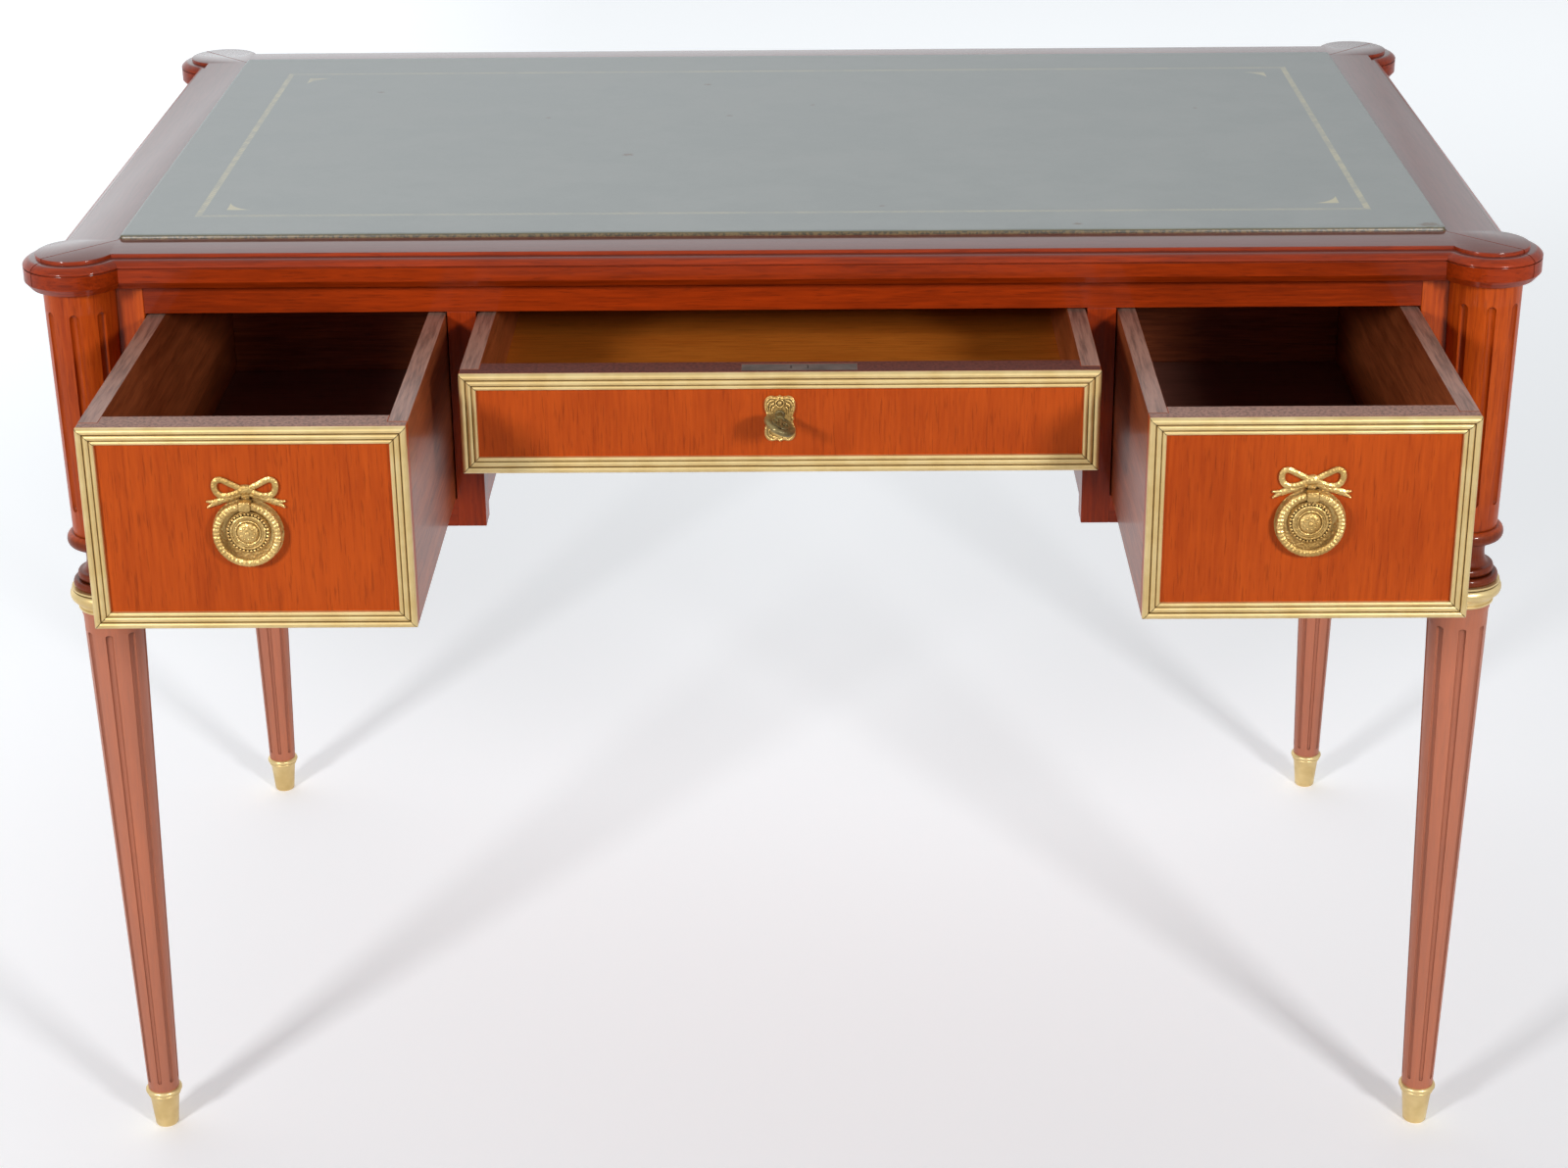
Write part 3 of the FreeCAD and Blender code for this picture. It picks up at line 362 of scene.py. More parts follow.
def rounded_rectangle(low, high, radius, height, steps=4):
    """A ring of points round a rectangle with round corners."""
    ring = []
    corners = (((high[0] - radius, high[1] - radius), 0), ((low[0] + radius, high[1] - radius), 90),
               ((low[0] + radius, low[1] + radius), 180), ((high[0] - radius, low[1] + radius), 270))
    for (x, y), start in corners:
        for step in range(steps + 1):
            angle = math.radians(start + 90 * step / steps)
            ring.append((x + radius * math.cos(angle), y + radius * math.sin(angle), height))
    return ring


def rounded_box(low, high, soft, steps=3):
    """A box with its edges rounded by soft."""
    rises = [(soft * (1 - math.sin(a)), soft * (1 - math.cos(a)))
             for a in (math.pi / 2 * step / steps for step in range(steps + 1))]
    levels = [(inset, low[2] + up) for inset, up in rises]
    levels += [(inset, high[2] - up) for inset, up in rises[::-1]]
    return skin([rounded_rectangle((low[0] + inset, low[1] + inset), (high[0] - inset, high[1] - inset),
                                   soft, height) for inset, height in levels])


def piece(name, mesh, material, body, nodes=()):
    """Make an object of a mesh, put it on its body and let it stand for its CAD nodes."""
    data = bpy.data.meshes.new(name)
    data.from_pydata([Vector(point) * MM for point in mesh[0]], [], mesh[1])
    edit = bmesh.new()
    edit.from_mesh(data)
    bmesh.ops.remove_doubles(edit, verts=edit.verts, dist=POINT_WELD * MM)
    bmesh.ops.recalc_face_normals(edit, faces=edit.faces)
    edit.to_mesh(data)
    edit.free()
    data.shade_smooth()
    data.set_sharp_from_angle(angle=math.radians(SHARP_ANGLE))
    thing = bpy.data.objects.new(name, data)
    bpy.context.scene.collection.objects.link(thing)
    data.materials.append(material)
    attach(thing, body)
    if nodes:
        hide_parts(*nodes)


# Materials; scales of noise are per metre

BUMP_DISTANCE = 0.5


def tone(red, green, blue):
    """A colour given as it shows on a screen, from 0 to 255."""
    parts = [part / 255 for part in (red, green, blue)]
    return tuple(p / 12.92 if p <= 0.04045 else ((p + 0.055) / 1.055) ** 2.4 for p in parts) + (1,)


def shaded(colour, share):
    """The colour darkened to a share of itself."""
    return tuple(share * part for part in colour[:3]) + (1,)


def feed(tree, socket, value):
    """Link a socket to an output, or set it to a value."""
    if isinstance(value, bpy.types.NodeSocket):
        tree.links.new(value, socket)
    else:
        socket.default_value = value


def add(tree, kind, settings=(), **inputs):
    """A shader node with its settings; inputs go by name, or by number as i0, i1."""
    node = tree.nodes.new("ShaderNode" + kind)
    for name, setting in dict(settings).items():
        setattr(node, name, setting)
    for name, value in inputs.items():
        feed(tree, node.inputs[int(name[1:]) if name[1:].isdigit() else name.replace("_", " ")], value)
    return node


def calc(tree, operation, first, second=0.0):
    """One step of arithmetic."""
    return add(tree, "Math", {"operation": operation}, i0=first, i1=second).outputs[0]


def times(tree, first, second):
    return calc(tree, "MULTIPLY", first, second)


def plus(tree, first, second):
    return calc(tree, "ADD", first, second)


def minus(tree, first, second):
    return calc(tree, "SUBTRACT", first, second)


def blend(tree, share, first, second, kind="MIX"):
    """A mix of two colours."""
    settings = {"data_type": "RGBA", "blend_type": kind}
    return add(tree, "Mix", settings, i0=share, i6=first, i7=second).outputs[2]


def ramp(tree, value, low, high):
    """A soft step from 0 at low to 1 at high; it falls with the value where low is above high."""
    settings = {"interpolation_type": "SMOOTHSTEP"}
    return add(tree, "MapRange", settings, Value=value, From_Min=low, From_Max=high).outputs["Result"]


def noise(tree, where, scale, detail=3.0, roughness=0.55, distortion=0.0):
    """Cloudy noise, from 0 to 1."""
    node = add(tree, "TexNoise", Vector=where, Scale=scale, Detail=detail, Roughness=roughness,
               Distortion=distortion)
    return node.outputs[0]


def place(tree):
    """The place in the frame of the desk at rest, in metres."""
    return add(tree, "TexCoord").outputs["Object"]


def parts_of(tree, vector):
    """The three parts of a vector."""
    return add(tree, "SeparateXYZ", Vector=vector).outputs[:3]


def openness(tree, reach):
    """1 on open surfaces and less in hollows, seen within reach."""
    settings = {"samples": 8, "only_local": True}
    return add(tree, "AmbientOcclusion", settings, Distance=reach * MM).outputs["AO"]


def new_material(name):
    """An empty material and its nodes."""
    material = bpy.data.materials.new(name)
    material.use_nodes = True
    return material, material.node_tree


def finish_material(material, colour, roughness, bump=None, bump_depth=0.1, metallic=0.0, coat=0.0,
                    coat_roughness=0.1, specular=0.5):
    """Give the material's shader its colour, shine and relief."""
    tree = material.node_tree
    shader = tree.nodes["Principled BSDF"]
    values = {"Base Color": colour, "Roughness": roughness, "Metallic": metallic, "Coat Weight": coat,
              "Coat Roughness": coat_roughness, "Specular IOR Level": specular}
    for name, value in values.items():
        feed(tree, shader.inputs[name], value)
    if bump is not None:
        node = add(tree, "Bump", Strength=bump_depth, Distance=BUMP_DISTANCE * MM, Height=bump)
        tree.links.new(node.outputs["Normal"], shader.inputs["Normal"])
    return material


# Wood
GRAIN_STRETCH = 0.06
STREAK_SCALE = 420.0
BAND_SCALE = 55.0
PORE_SCALE = 800.0
PORE_SPAN = (0.56, 0.68)
PORE_SHARE = 0.36
PORE_SHADE = 0.4
STREAK_SHARE = 0.4
BAND_SHARE = 0.3
SLOW_SHARE = 0.3
GRAIN_SPAN = (0.32, 0.68)
# How far the legs below the collars take floor_reflection_tone, a painted reflection of the pale floor
FLOOR_REFLECTION_SHARE = 0.62
# Dark necks: partly stain, partly painted shade
NECK_STAIN_AND_SHADE = tone(76, 26, 9)
NECK_SHARE = 0.7
NECK_FADE = 4
WOOD_HOLLOW = 6
WOOD_HOLLOW_SPAN = (0.45, 0.85)
RIM_STREAK_SPAN = (0.35, 0.7)
UPWARD_SPAN = (0.9, 0.99)
WOOD_ROUGHNESS = (0.35, 0.5)
STREAK_RELIEF = 0.3
WOOD_BUMP = 0.08


def grained(tree, dark, light, grain, figure):
    """Colour, streaks, pores and slow changes of wood whose grain runs along one axis."""
    stretch = [1.0, 1.0, 1.0]
    stretch["xyz".index(grain)] = GRAIN_STRETCH
    where = add(tree, "Mapping", Vector=place(tree), Scale=stretch).outputs["Vector"]
    streaks = noise(tree, where, STREAK_SCALE, detail=4.0, roughness=0.6)
    bands = noise(tree, where, BAND_SCALE, detail=3.0, roughness=0.5, distortion=0.6)
    slow = noise(tree, place(tree), figure, detail=2.0)
    pores = ramp(tree, noise(tree, where, PORE_SCALE, detail=2.0), *PORE_SPAN)
    mixed = plus(tree, times(tree, streaks, STREAK_SHARE), times(tree, bands, BAND_SHARE))
    mixed = plus(tree, mixed, times(tree, slow, SLOW_SHARE))
    colour = blend(tree, ramp(tree, mixed, *GRAIN_SPAN), dark, light)
    colour = blend(tree, times(tree, pores, PORE_SHARE), colour, shaded(dark, PORE_SHADE))
    return colour, streaks, pores, slow


def leg_tones(tree, colour, floor_reflection_tone):
    """Colour by height: a painted floor reflection below the collars, stain and painted shade at the necks.
    """
    height = parts_of(tree, place(tree))[2]
    below = ramp(tree, height, COLLAR_TOP * MM, COLLAR_FOOT * MM)
    # Painted reflection: below the collars the legs take the pale tone of the floor they mirror
    colour = blend(tree, times(tree, below, FLOOR_REFLECTION_SHARE), colour, floor_reflection_tone)
    # The necks are darkened, partly as stain and partly as painted shade
    under_post = ramp(tree, height, APRON_BOTTOM * MM, (APRON_BOTTOM - NECK_FADE) * MM)
    over_collar = ramp(tree, height, COLLAR_FOOT * MM, COLLAR_TOP * MM)
    at_neck = times(tree, times(tree, under_post, over_collar), NECK_SHARE)
    return blend(tree, at_neck, colour, NECK_STAIN_AND_SHADE)


def wood(name, dark, light, grain, coat=0.35, coat_roughness=0.07, figure=5.0, specular=0.1, rim=None,
         rim_coat=None, rim_streak_share=0.45, floor_reflection_tone=None, hollow_shade=None):
    """Polished wood; figure is the scale of its slow changes of colour.

    Faces that look up take the colour rim (a painted reflection, on the centre drawer a painted shade),
    streaked down to rim_streak_share, and the coat rim_coat.
    A leg's wood takes floor_reflection_tone, a painted floor reflection. Hollows take painted shade to the
    share hollow_shade.
    """
    material, tree = new_material(name)
    colour, streaks, pores, slow = grained(tree, dark, light, grain, figure)
    if floor_reflection_tone is not None:
        colour = leg_tones(tree, colour, floor_reflection_tone)
    if hollow_shade is not None:
        # Painted shade: hollows such as the flutes are darkened by how open they are
        deep = blend(tree, 1.0, colour, (hollow_shade,) * 3 + (1,), "MULTIPLY")
        colour = blend(tree, ramp(tree, openness(tree, WOOD_HOLLOW), *WOOD_HOLLOW_SPAN), deep, colour)
    # Painted reflection: faces that look up take the rim colour in place of the room they mirror
    if rim is not None:
        facing_up = parts_of(tree, add(tree, "TexCoord").outputs["Normal"])[2]
        uneven = blend(tree, ramp(tree, streaks, *RIM_STREAK_SPAN), rim, shaded(rim, rim_streak_share))
        colour = blend(tree, ramp(tree, facing_up, *UPWARD_SPAN), colour, uneven)
        if rim_coat is not None:
            coat = add(tree, "MapRange", Value=facing_up, From_Min=UPWARD_SPAN[0], From_Max=UPWARD_SPAN[1],
                       To_Min=coat, To_Max=rim_coat).outputs["Result"]
    rubbed = plus(tree, WOOD_ROUGHNESS[0], times(tree, slow, WOOD_ROUGHNESS[1] - WOOD_ROUGHNESS[0]))
    height = minus(tree, times(tree, streaks, STREAK_RELIEF), pores)
    return finish_material(material, colour, rubbed, height, WOOD_BUMP, coat=coat,
                           coat_roughness=coat_roughness, specular=specular)


# Metal
WEAR_SCALE = 40.0
WEAR_SPAN = (0.3, 0.7)
METAL_HOLLOW = 4
METAL_HOLLOW_SPAN = (0.25, 0.85)
TOOLING_SCALE = 520.0


def metal(name, bright, dull, rough, metallic, chased=0.0, shade_and_dirt=None):
    """Old metal, rubbed brighter here and there; chased gives it a tooled face, and shade_and_dirt darkens
    its hollows as dirt and painted shade.
    """
    material, tree = new_material(name)
    uneven = ramp(tree, noise(tree, place(tree), WEAR_SCALE), *WEAR_SPAN)
    colour = blend(tree, uneven, dull, bright)
    # Dirt and painted shade: hollows are darkened by how open they are
    if shade_and_dirt is not None:
        colour = blend(tree, ramp(tree, openness(tree, METAL_HOLLOW), *METAL_HOLLOW_SPAN), shade_and_dirt, colour)
    rubbed = minus(tree, rough[1], times(tree, uneven, rough[1] - rough[0]))
    tooling = add(tree, "TexVoronoi", Vector=place(tree), Scale=TOOLING_SCALE).outputs["Distance"]
    return finish_material(material, colour, rubbed, tooling, chased, metallic=metallic)


# Leather; the gilt border and marks are measured from the middle of the border
BORDER_MIDDLE_Y = 98.5
BORDER_HALF_X = 445
BORDER_HALF_Y = 225.5
BORDER_HALF_BAND = 2.8
BORDER_FADE = 0.8
BORDER_DOT_RATE = 1.4
BORDER_DOT_SPAN = (-0.8, 0.2)
BORDER_DOT_SHARE = 0.5
LONG_SIDE_KEPT = 0.55
MARK_X = 426
MARK_Y = 209.5
MARK_SIZE = 21
MARK_HOLLOW = 0.65
MARK_FADE = (1.0, 0.92)
MARK_SIDE_SPAN = (-0.3, 0.3)
GILT_TONE = tone(192, 184, 150)
GILT_SCALE = 60.0
GILT_SPAN = (0.36, 0.62)
GILT_LEAST = 0.4
GILT_MORE = 0.5
# Scuffs, as (x, y, radius) in the desk's frame
SCUFFS = ((-127, 42, 9), (-69, 276, 5), (24, 201, 4), (350, 182, 4), (222, -162, 6), (77, -111, 4),
          (-356, 256, 5), (-47, 166, 4), (-201, 163, 4), (484, -170, 13))
SCUFF_TONE = tone(104, 84, 64)
SCUFF_SHARE = 0.8
SCUFF_FLATTENING = 1.7
SCUFF_RAGGED = 1.6
SCUFF_FADE = (0.8, 0.3)
# The sheet's edge turns darker downwards, at heights above the rails
ROLL_TONE = tone(88, 82, 56)
ROLL_FADE = (3.2, 2.7)
ROLL_FOOT_TONES = (tone(50, 40, 23), tone(102, 82, 48))
ROLL_FOOT_FADE = (2.6, 2.0)
ROLL_FLECK_SCALE = 420.0
ROLL_FLECK_SPAN = (0.4, 0.6)
LEATHER_TONES = (tone(128, 133, 131), tone(140, 144, 142))
LEATHER_SPECK = tone(100, 104, 98)
LEATHER_SPECK_SPAN = (0.55, 0.75)
LEATHER_SPECK_SHARE = 0.14
MOTTLE_SCALE = 14.0
MOTTLE_SPAN = (0.3, 0.7)
FINE_SCALE = 320.0
FINE_RELIEF = 0.5
LEATHER_GRAIN_SCALE = 700.0
LEATHER_ROUGHNESS = 0.3
MOTTLE_ROUGHNESS = 0.12
LEATHER_BUMP = 0.14


def border_line(tree, x, y, fold_x, fold_y):
    """The dotted border; its long sides keep less of their gilt."""
    side_x = minus(tree, fold_x, BORDER_HALF_X)
    side_y = minus(tree, fold_y, BORDER_HALF_Y)
    off_line = calc(tree, "ABSOLUTE", calc(tree, "MAXIMUM", side_x, side_y))
    band = ramp(tree, off_line, BORDER_HALF_BAND, BORDER_HALF_BAND - BORDER_FADE)
    wave = calc(tree, "SINE", times(tree, plus(tree, x, y), BORDER_DOT_RATE))
    dots = times(tree, ramp(tree, wave, *BORDER_DOT_SPAN), BORDER_DOT_SHARE)
    short_side = times(tree, ramp(tree, minus(tree, side_x, side_y), -1, 1), 1 - LONG_SIDE_KEPT)
    kept = plus(tree, LONG_SIDE_KEPT, short_side)
    return times(tree, times(tree, band, kept), plus(tree, 1 - BORDER_DOT_SHARE, dots))


def corner_mark(tree, fold_x, fold_y):
    """A hollow-sided mark inside each corner of the border."""
    away = [minus(tree, MARK_X, fold_x), minus(tree, MARK_Y, fold_y)]
    inside = ramp(tree, calc(tree, "MINIMUM", *away), *MARK_SIDE_SPAN)
    shares = [calc(tree, "DIVIDE", calc(tree, "MAXIMUM", part, 0.0), MARK_SIZE) for part in away]
    reach = plus(tree, *[calc(tree, "POWER", share, MARK_HOLLOW) for share in shares])
    return times(tree, inside, ramp(tree, reach, *MARK_FADE))


def gilding(tree, x, y):
    """How much of the worn gilt shows."""
    fold_x = calc(tree, "ABSOLUTE", x)
    fold_y = calc(tree, "ABSOLUTE", minus(tree, y, BORDER_MIDDLE_Y))
    drawn = calc(tree, "MAXIMUM", border_line(tree, x, y, fold_x, fold_y), corner_mark(tree, fold_x, fold_y))
    uneven = ramp(tree, noise(tree, place(tree), GILT_SCALE, detail=4.0, roughness=0.65), *GILT_SPAN)
    return times(tree, drawn, plus(tree, GILT_LEAST, times(tree, uneven, GILT_MORE)))


def scuffing(tree, x, y, fine):
    """How much the leather is scuffed: ragged ovals."""
    scuffed = 0.0
    for mark_x, mark_y, radius in SCUFFS:
        off_x = minus(tree, x, mark_x)
        off_y = times(tree, minus(tree, y, mark_y), SCUFF_FLATTENING)
        away = calc(tree, "SQRT", plus(tree, times(tree, off_x, off_x), times(tree, off_y, off_y)))
        away = plus(tree, away, times(tree, minus(tree, fine, 0.5), radius * SCUFF_RAGGED))
        here = ramp(tree, away, *[radius * share for share in SCUFF_FADE])
        scuffed = calc(tree, "MAXIMUM", scuffed, here)
    return scuffed


def rolled_edge(tree, colour, z):
    """The colour changed at the sheet's edge, in two steps."""
    above = minus(tree, z, TOP_HEIGHT)
    flecks = ramp(tree, noise(tree, place(tree), ROLL_FLECK_SCALE), *ROLL_FLECK_SPAN)
    colour = blend(tree, ramp(tree, above, *ROLL_FADE), colour, ROLL_TONE)
    return blend(tree, ramp(tree, above, *ROLL_FOOT_FADE), colour, blend(tree, flecks, *ROLL_FOOT_TONES))


def leather_material():
    """Grey-green leather with a worn gilt border, a mark in each corner, scuffs and an edge that turns darker
    downwards.
    """
    material, tree = new_material("old_leather")
    x, y, z = (times(tree, part, 1 / MM) for part in parts_of(tree, place(tree)))
    mottle = noise(tree, place(tree), MOTTLE_SCALE, detail=5.0, roughness=0.6)
    fine = noise(tree, place(tree), FINE_SCALE, detail=4.0, roughness=0.6)
    colour = blend(tree, ramp(tree, mottle, *MOTTLE_SPAN), *LEATHER_TONES)
    specks = times(tree, ramp(tree, fine, *LEATHER_SPECK_SPAN), LEATHER_SPECK_SHARE)
    colour = blend(tree, specks, colour, LEATHER_SPECK)
    colour = blend(tree, gilding(tree, x, y), colour, GILT_TONE)
    colour = blend(tree, times(tree, scuffing(tree, x, y, fine), SCUFF_SHARE), colour, SCUFF_TONE)
    colour = rolled_edge(tree, colour, z)
    grain = add(tree, "TexVoronoi", {"feature": "DISTANCE_TO_EDGE"}, Vector=place(tree),
                Scale=LEATHER_GRAIN_SCALE).outputs[0]
    height = plus(tree, grain, times(tree, fine, FINE_RELIEF))
    rubbed = plus(tree, LEATHER_ROUGHNESS, times(tree, mottle, MOTTLE_ROUGHNESS))
    return finish_material(material, colour, rubbed, height, LEATHER_BUMP, specular=0.6)


DARK_RED = tone(110, 31, 1)
BRIGHT_RED = tone(160, 52, 5)
# RIM_REFLECTION_TONE: a painted reflection of the room on the faces of drawers and boards that look up
RIM_REFLECTION_TONE = tone(162, 120, 104)
FACE_DARK = tone(154, 58, 12)
FACE_LIGHT = tone(180, 75, 18)
mahogany = {axis: wood("mahogany_" + axis, DARK_RED, BRIGHT_RED, axis) for axis in "xyz"}
# The rails' tops take a painted reflection of the room as their rim colour
top_wood = {axis: wood("mahogany_top_" + axis, DARK_RED, BRIGHT_RED, axis, rim=tone(106, 50, 40),
                       rim_streak_share=0.8, rim_coat=0.8) for axis in "xy"}
# The legs' pale lower tone is a painted reflection of the floor; their necks and flutes take painted shade
leg_wood = wood("mahogany_leg", tone(146, 51, 8), tone(194, 82, 17), "z", coat=0.3, coat_roughness=0.08,
                floor_reflection_tone=tone(190, 130, 106), hollow_shade=0.35)
drawer_face = wood("mahogany_face", FACE_DARK, FACE_LIGHT, "z", coat=0.1, figure=12.0, rim=RIM_REFLECTION_TONE)
# The centre drawer's faces that look up are darker, as painted shade
centre_face = wood("mahogany_centre_face", FACE_DARK, FACE_LIGHT, "z", coat=0.1, figure=12.0,
                   rim=tone(104, 54, 44))
inner = {axis: wood("inner_wood_" + axis, tone(128, 80, 66), tone(160, 104, 88), axis, coat=0.3,
                    coat_roughness=0.25, specular=0.3) for axis in "xy"}
drawer_board = {axis: wood("drawer_wood_" + axis, tone(104, 44, 18), tone(166, 86, 46), axis, coat=0.25,
                           coat_roughness=0.2, specular=0.2, rim=RIM_REFLECTION_TONE) for axis in "xy"}
golden = wood("golden_wood", tone(186, 96, 26), tone(216, 124, 42), "x", coat=0.1, coat_roughness=0.25)
brass = metal("drawn_brass", tone(232, 206, 148), tone(212, 182, 122), rough=(0.32, 0.42), metallic=0.65,
              shade_and_dirt=tone(132, 100, 54))
gilt = metal("cast_brass", tone(218, 184, 118), tone(178, 142, 80), rough=(0.32, 0.46), metallic=0.75,
             chased=0.8, shade_and_dirt=tone(60, 38, 14))
steel = metal("lock_steel", tone(116, 106, 98), tone(84, 74, 66), rough=(0.35, 0.55), metallic=0.8)
bronze = metal("key_bronze", tone(150, 132, 86), tone(92, 78, 46), rough=(0.32, 0.46), metallic=0.5,
               chased=0.8, shade_and_dirt=tone(34, 26, 12))
leather = leather_material()


# Top

def edge_levels():
    """(out, down) points round the moulded edge, from the arris to the underside."""
    return [
        (-ARRIS_ROUND, 0),
        (-ARRIS_ROUND * ARRIS_MIDDLE, ARRIS_ROUND * ARRIS_MIDDLE),
        (0, ARRIS_ROUND),
        (0, FILLET_DROP),
        *bulge((LEDGE_REACH, NOSE_TOP), (NOSE_FOOT_REACH, NOSE_BOTTOM), NOSE_RISE, NOSE_STEPS),
        (NOSE_FOOT_REACH - QUIRK_DEPTH, NOSE_BOTTOM),
        (NOSE_FOOT_REACH - QUIRK_DEPTH, NOSE_BOTTOM + QUIRK_HEIGHT),
        (FASCIA_REACH, NOSE_BOTTOM + QUIRK_HEIGHT),
        (FASCIA_REACH, FASCIA_BOTTOM),
        (EDGE_FOOT_REACH, TOP_THICKNESS),
    ]


def edge_path(length, out, steps=22):
    """Points of a rail's edge in plan at one distance out, from its left mitre to its right one."""
    ear_x = length / 2 - EAR_INSET
    radius = EAR_RADIUS + out
    start = math.radians(EAR_MITRE) + MITRE_GAP / radius
    end = -math.asin((EAR_INSET + out) / radius)
    left = []
    for step in range(steps + 1):
        angle = start + (end - start) * step / steps
        left.append((-ear_x + radius * math.cos(angle), EAR_INSET + radius * math.sin(angle)))
    return left + [(-x, y) for x, y in left[::-1]]


def top_rail(node, length, at, turn, material):
    """A rail along X whose moulded edge faces -Y; each row is the section at one place along it."""
    levels = [(edge_path(length, out), -down) for out, down in edge_levels()]
    narrow = length / 2 - FRAME_MARGIN - MITRE_GAP
    count = len(levels[0][0])
    rows = []
    for station in range(count):
        inner_x = -narrow if station < count / 2 else narrow
        rows.append([(inner_x, FRAME_MARGIN, 0), *[(*path[station], z) for path, z in levels],
                     (inner_x, FRAME_MARGIN, -TOP_THICKNESS)])
    piece(node + "_moulded", placed(skin(rows), at, turn), material, "desk", [node])


def leather_sheet():
    """The padded sheet with its upper edge rounded."""
    low, high = (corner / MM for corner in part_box("leather_lining"))
    rows = [rounded_rectangle(low, high, LEATHER_CORNER, low.z)]
    for step in range(LEATHER_STEPS + 1):
        inset = LEATHER_ROUND * math.sin(math.pi / 2 * step / LEATHER_STEPS)
        rise = LEATHER_ROUND * math.sin(math.acos(1 - inset / LEATHER_ROUND))
        rows.append(rounded_rectangle((low.x + inset, low.y + inset), (high.x - inset, high.y - inset),
                                      LEATHER_CORNER, high.z - LEATHER_ROUND + rise))
    piece("leather_sheet", skin(rows), leather, "desk", ["leather_lining"])


front_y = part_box("front_rail")[0].y / MM
back_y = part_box("back_panel")[1].y / MM
leg_x = TOP_WIDTH / 2 - EAR_INSET
top_middle = (front_y + back_y) / 2
top_rail("top_rail_front", TOP_WIDTH, (0, front_y - EAR_INSET, TOP_HEIGHT), 0, top_wood["x"])
top_rail("top_rail_right", TOP_DEPTH, (TOP_WIDTH / 2, top_middle, TOP_HEIGHT), 90, top_wood["y"])
top_rail("top_rail_back", TOP_WIDTH, (0, back_y + EAR_INSET, TOP_HEIGHT), 180, top_wood["x"])
top_rail("top_rail_left", TOP_DEPTH, (-TOP_WIDTH / 2, top_middle, TOP_HEIGHT), 270, top_wood["y"])
leather_sheet()


# Legs

def flute_width(height, span, full):
    """A flute's width at a height as a share; it narrows to a round end at both ends of its span."""
    into = min(height - span[0], span[1] - height)
    if into <= 0:
        return 0.0
    if into >= full:
        return 1.0
    return math.sqrt(1 - (1 - into / full) ** 2)


def flute_heights(foot, top, span, round_end):
    """Heights of the rows of a fluted shaft, close together at the round ends of its flutes."""
    steps = [round_end * (1 - math.cos(math.pi / 2 * step / FLUTE_END_ROWS))
             for step in range(FLUTE_END_ROWS + 1)]
    return [foot, *[span[0] + step for step in steps], (span[0] + span[1]) / 2,
            *[span[1] - step for step in steps[::-1]], top]


def fluted_shaft(foot, top, span, flutes):
    """A tapered shaft with rounded flutes; foot and top are (radius, height)."""
    round_end = 2 * math.pi * foot[0] / FLUTES * FLUTE_HALF_SHARE
    rows = []
    for height in flute_heights(foot[1], top[1], span, round_end):
        radius = foot[0] + (top[0] - foot[0]) * (height - foot[1]) / (top[1] - foot[1])
        wide = max(flute_width(height, span, round_end), LEAST_FLUTE_SHARE)
        half = FLUTE_HALF_SHARE * wide
        row = []
        for number in range(FLUTES):
            cut = FLUTE_DEPTH_SHARE * wide if number in flutes and wide > LEAST_FLUTE_SHARE else 0
            turns = [(step * half, cut * math.sqrt(max(0, 1 - step * step))) for step in FLUTE_STEPS]
            turns += [(half + (1 - 2 * half) * share, 0) for share in LAND_SHARES]
            for turn, depth in turns:
                angle = 2 * math.pi * (number + turn) / FLUTES
                reach = radius * (1 - depth)
                row.append((reach * math.cos(angle), reach * math.sin(angle), height))
        rows.append(row)
    return skin(rows)


def neck():
    """Torus, hollow and two spreading rings between the post and the collar."""
    rings = []
    ring_height = (SCOTIA_FOOT - COLLAR_TOP) / len(NECK_RINGS)
    for number, (seat, rise) in enumerate(NECK_RINGS):
        top = SCOTIA_FOOT - number * ring_height
        rings += bulge((seat, top), (seat, top - ring_height), rise, NECK_RING_STEPS)
    return lathe([
        *bulge((TORUS_SEAT, APRON_BOTTOM), (TORUS_SEAT, TORUS_FOOT), TORUS_RISE),
        (NECK_RADIUS + NECK_STEP, TORUS_FOOT),
        *bulge((NECK_RADIUS, TORUS_FOOT - NECK_DROP), (NECK_RADIUS, SCOTIA_FOOT), -SCOTIA_DEPTH,
               SCOTIA_STEPS),
        *rings,
        (COLLAR_SEAT, COLLAR_TOP),
        (COLLAR_SEAT, COLLAR_FOOT),
    ])


def leg_mesh():
    """A leg about Z whose post fills the quarter between +X and +Y."""
    post = rounded_box((0, 0, APRON_BOTTOM), (POST_SIDE, POST_SIDE, UNDER_TOP), POST_ROUND)
    column = fluted_shaft((COLUMN_FOOT_RADIUS, APRON_BOTTOM), (COLUMN_TOP_RADIUS, UNDER_TOP),
                          COLUMN_FLUTE_SPAN, COLUMN_FLUTES)
    shaft = fluted_shaft((LEG_FOOT_RADIUS, CUP_HEIGHT), (LEG_TOP_RADIUS, COLLAR_FOOT), LEG_FLUTE_SPAN,
                         range(FLUTES))
    return joined(post, column, neck(), shaft)


def collar():
    """A hollow brass collar: lip, large torus, waist and a bead at the foot."""
    seat = COLLAR_SEAT + COLLAR_GAP
    foot = COLLAR_BEAD[1][1]
    profile = [(seat, 0), *COLLAR_LIP, *bulge(*COLLAR_TORUS), COLLAR_STEP, *bulge(*COLLAR_WAIST),
               *bulge(*COLLAR_BEAD), (seat, foot), (seat, 0)]
    return lathe([(radius, COLLAR_TOP - down) for radius, down in profile], ends=False)


def cup():
    """A brass foot cup with a flange at its top."""
    flange = bulge(CUP_FLANGE_SEAT, (LEG_FOOT_RADIUS + CUP_GAP, CUP_HEIGHT), CUP_FLANGE_RISE,
                   CUP_FLANGE_STEPS)
    return lathe([*CUP_BODY, *bulge(*CUP_BEAD), *flange, (0, CUP_HEIGHT)])


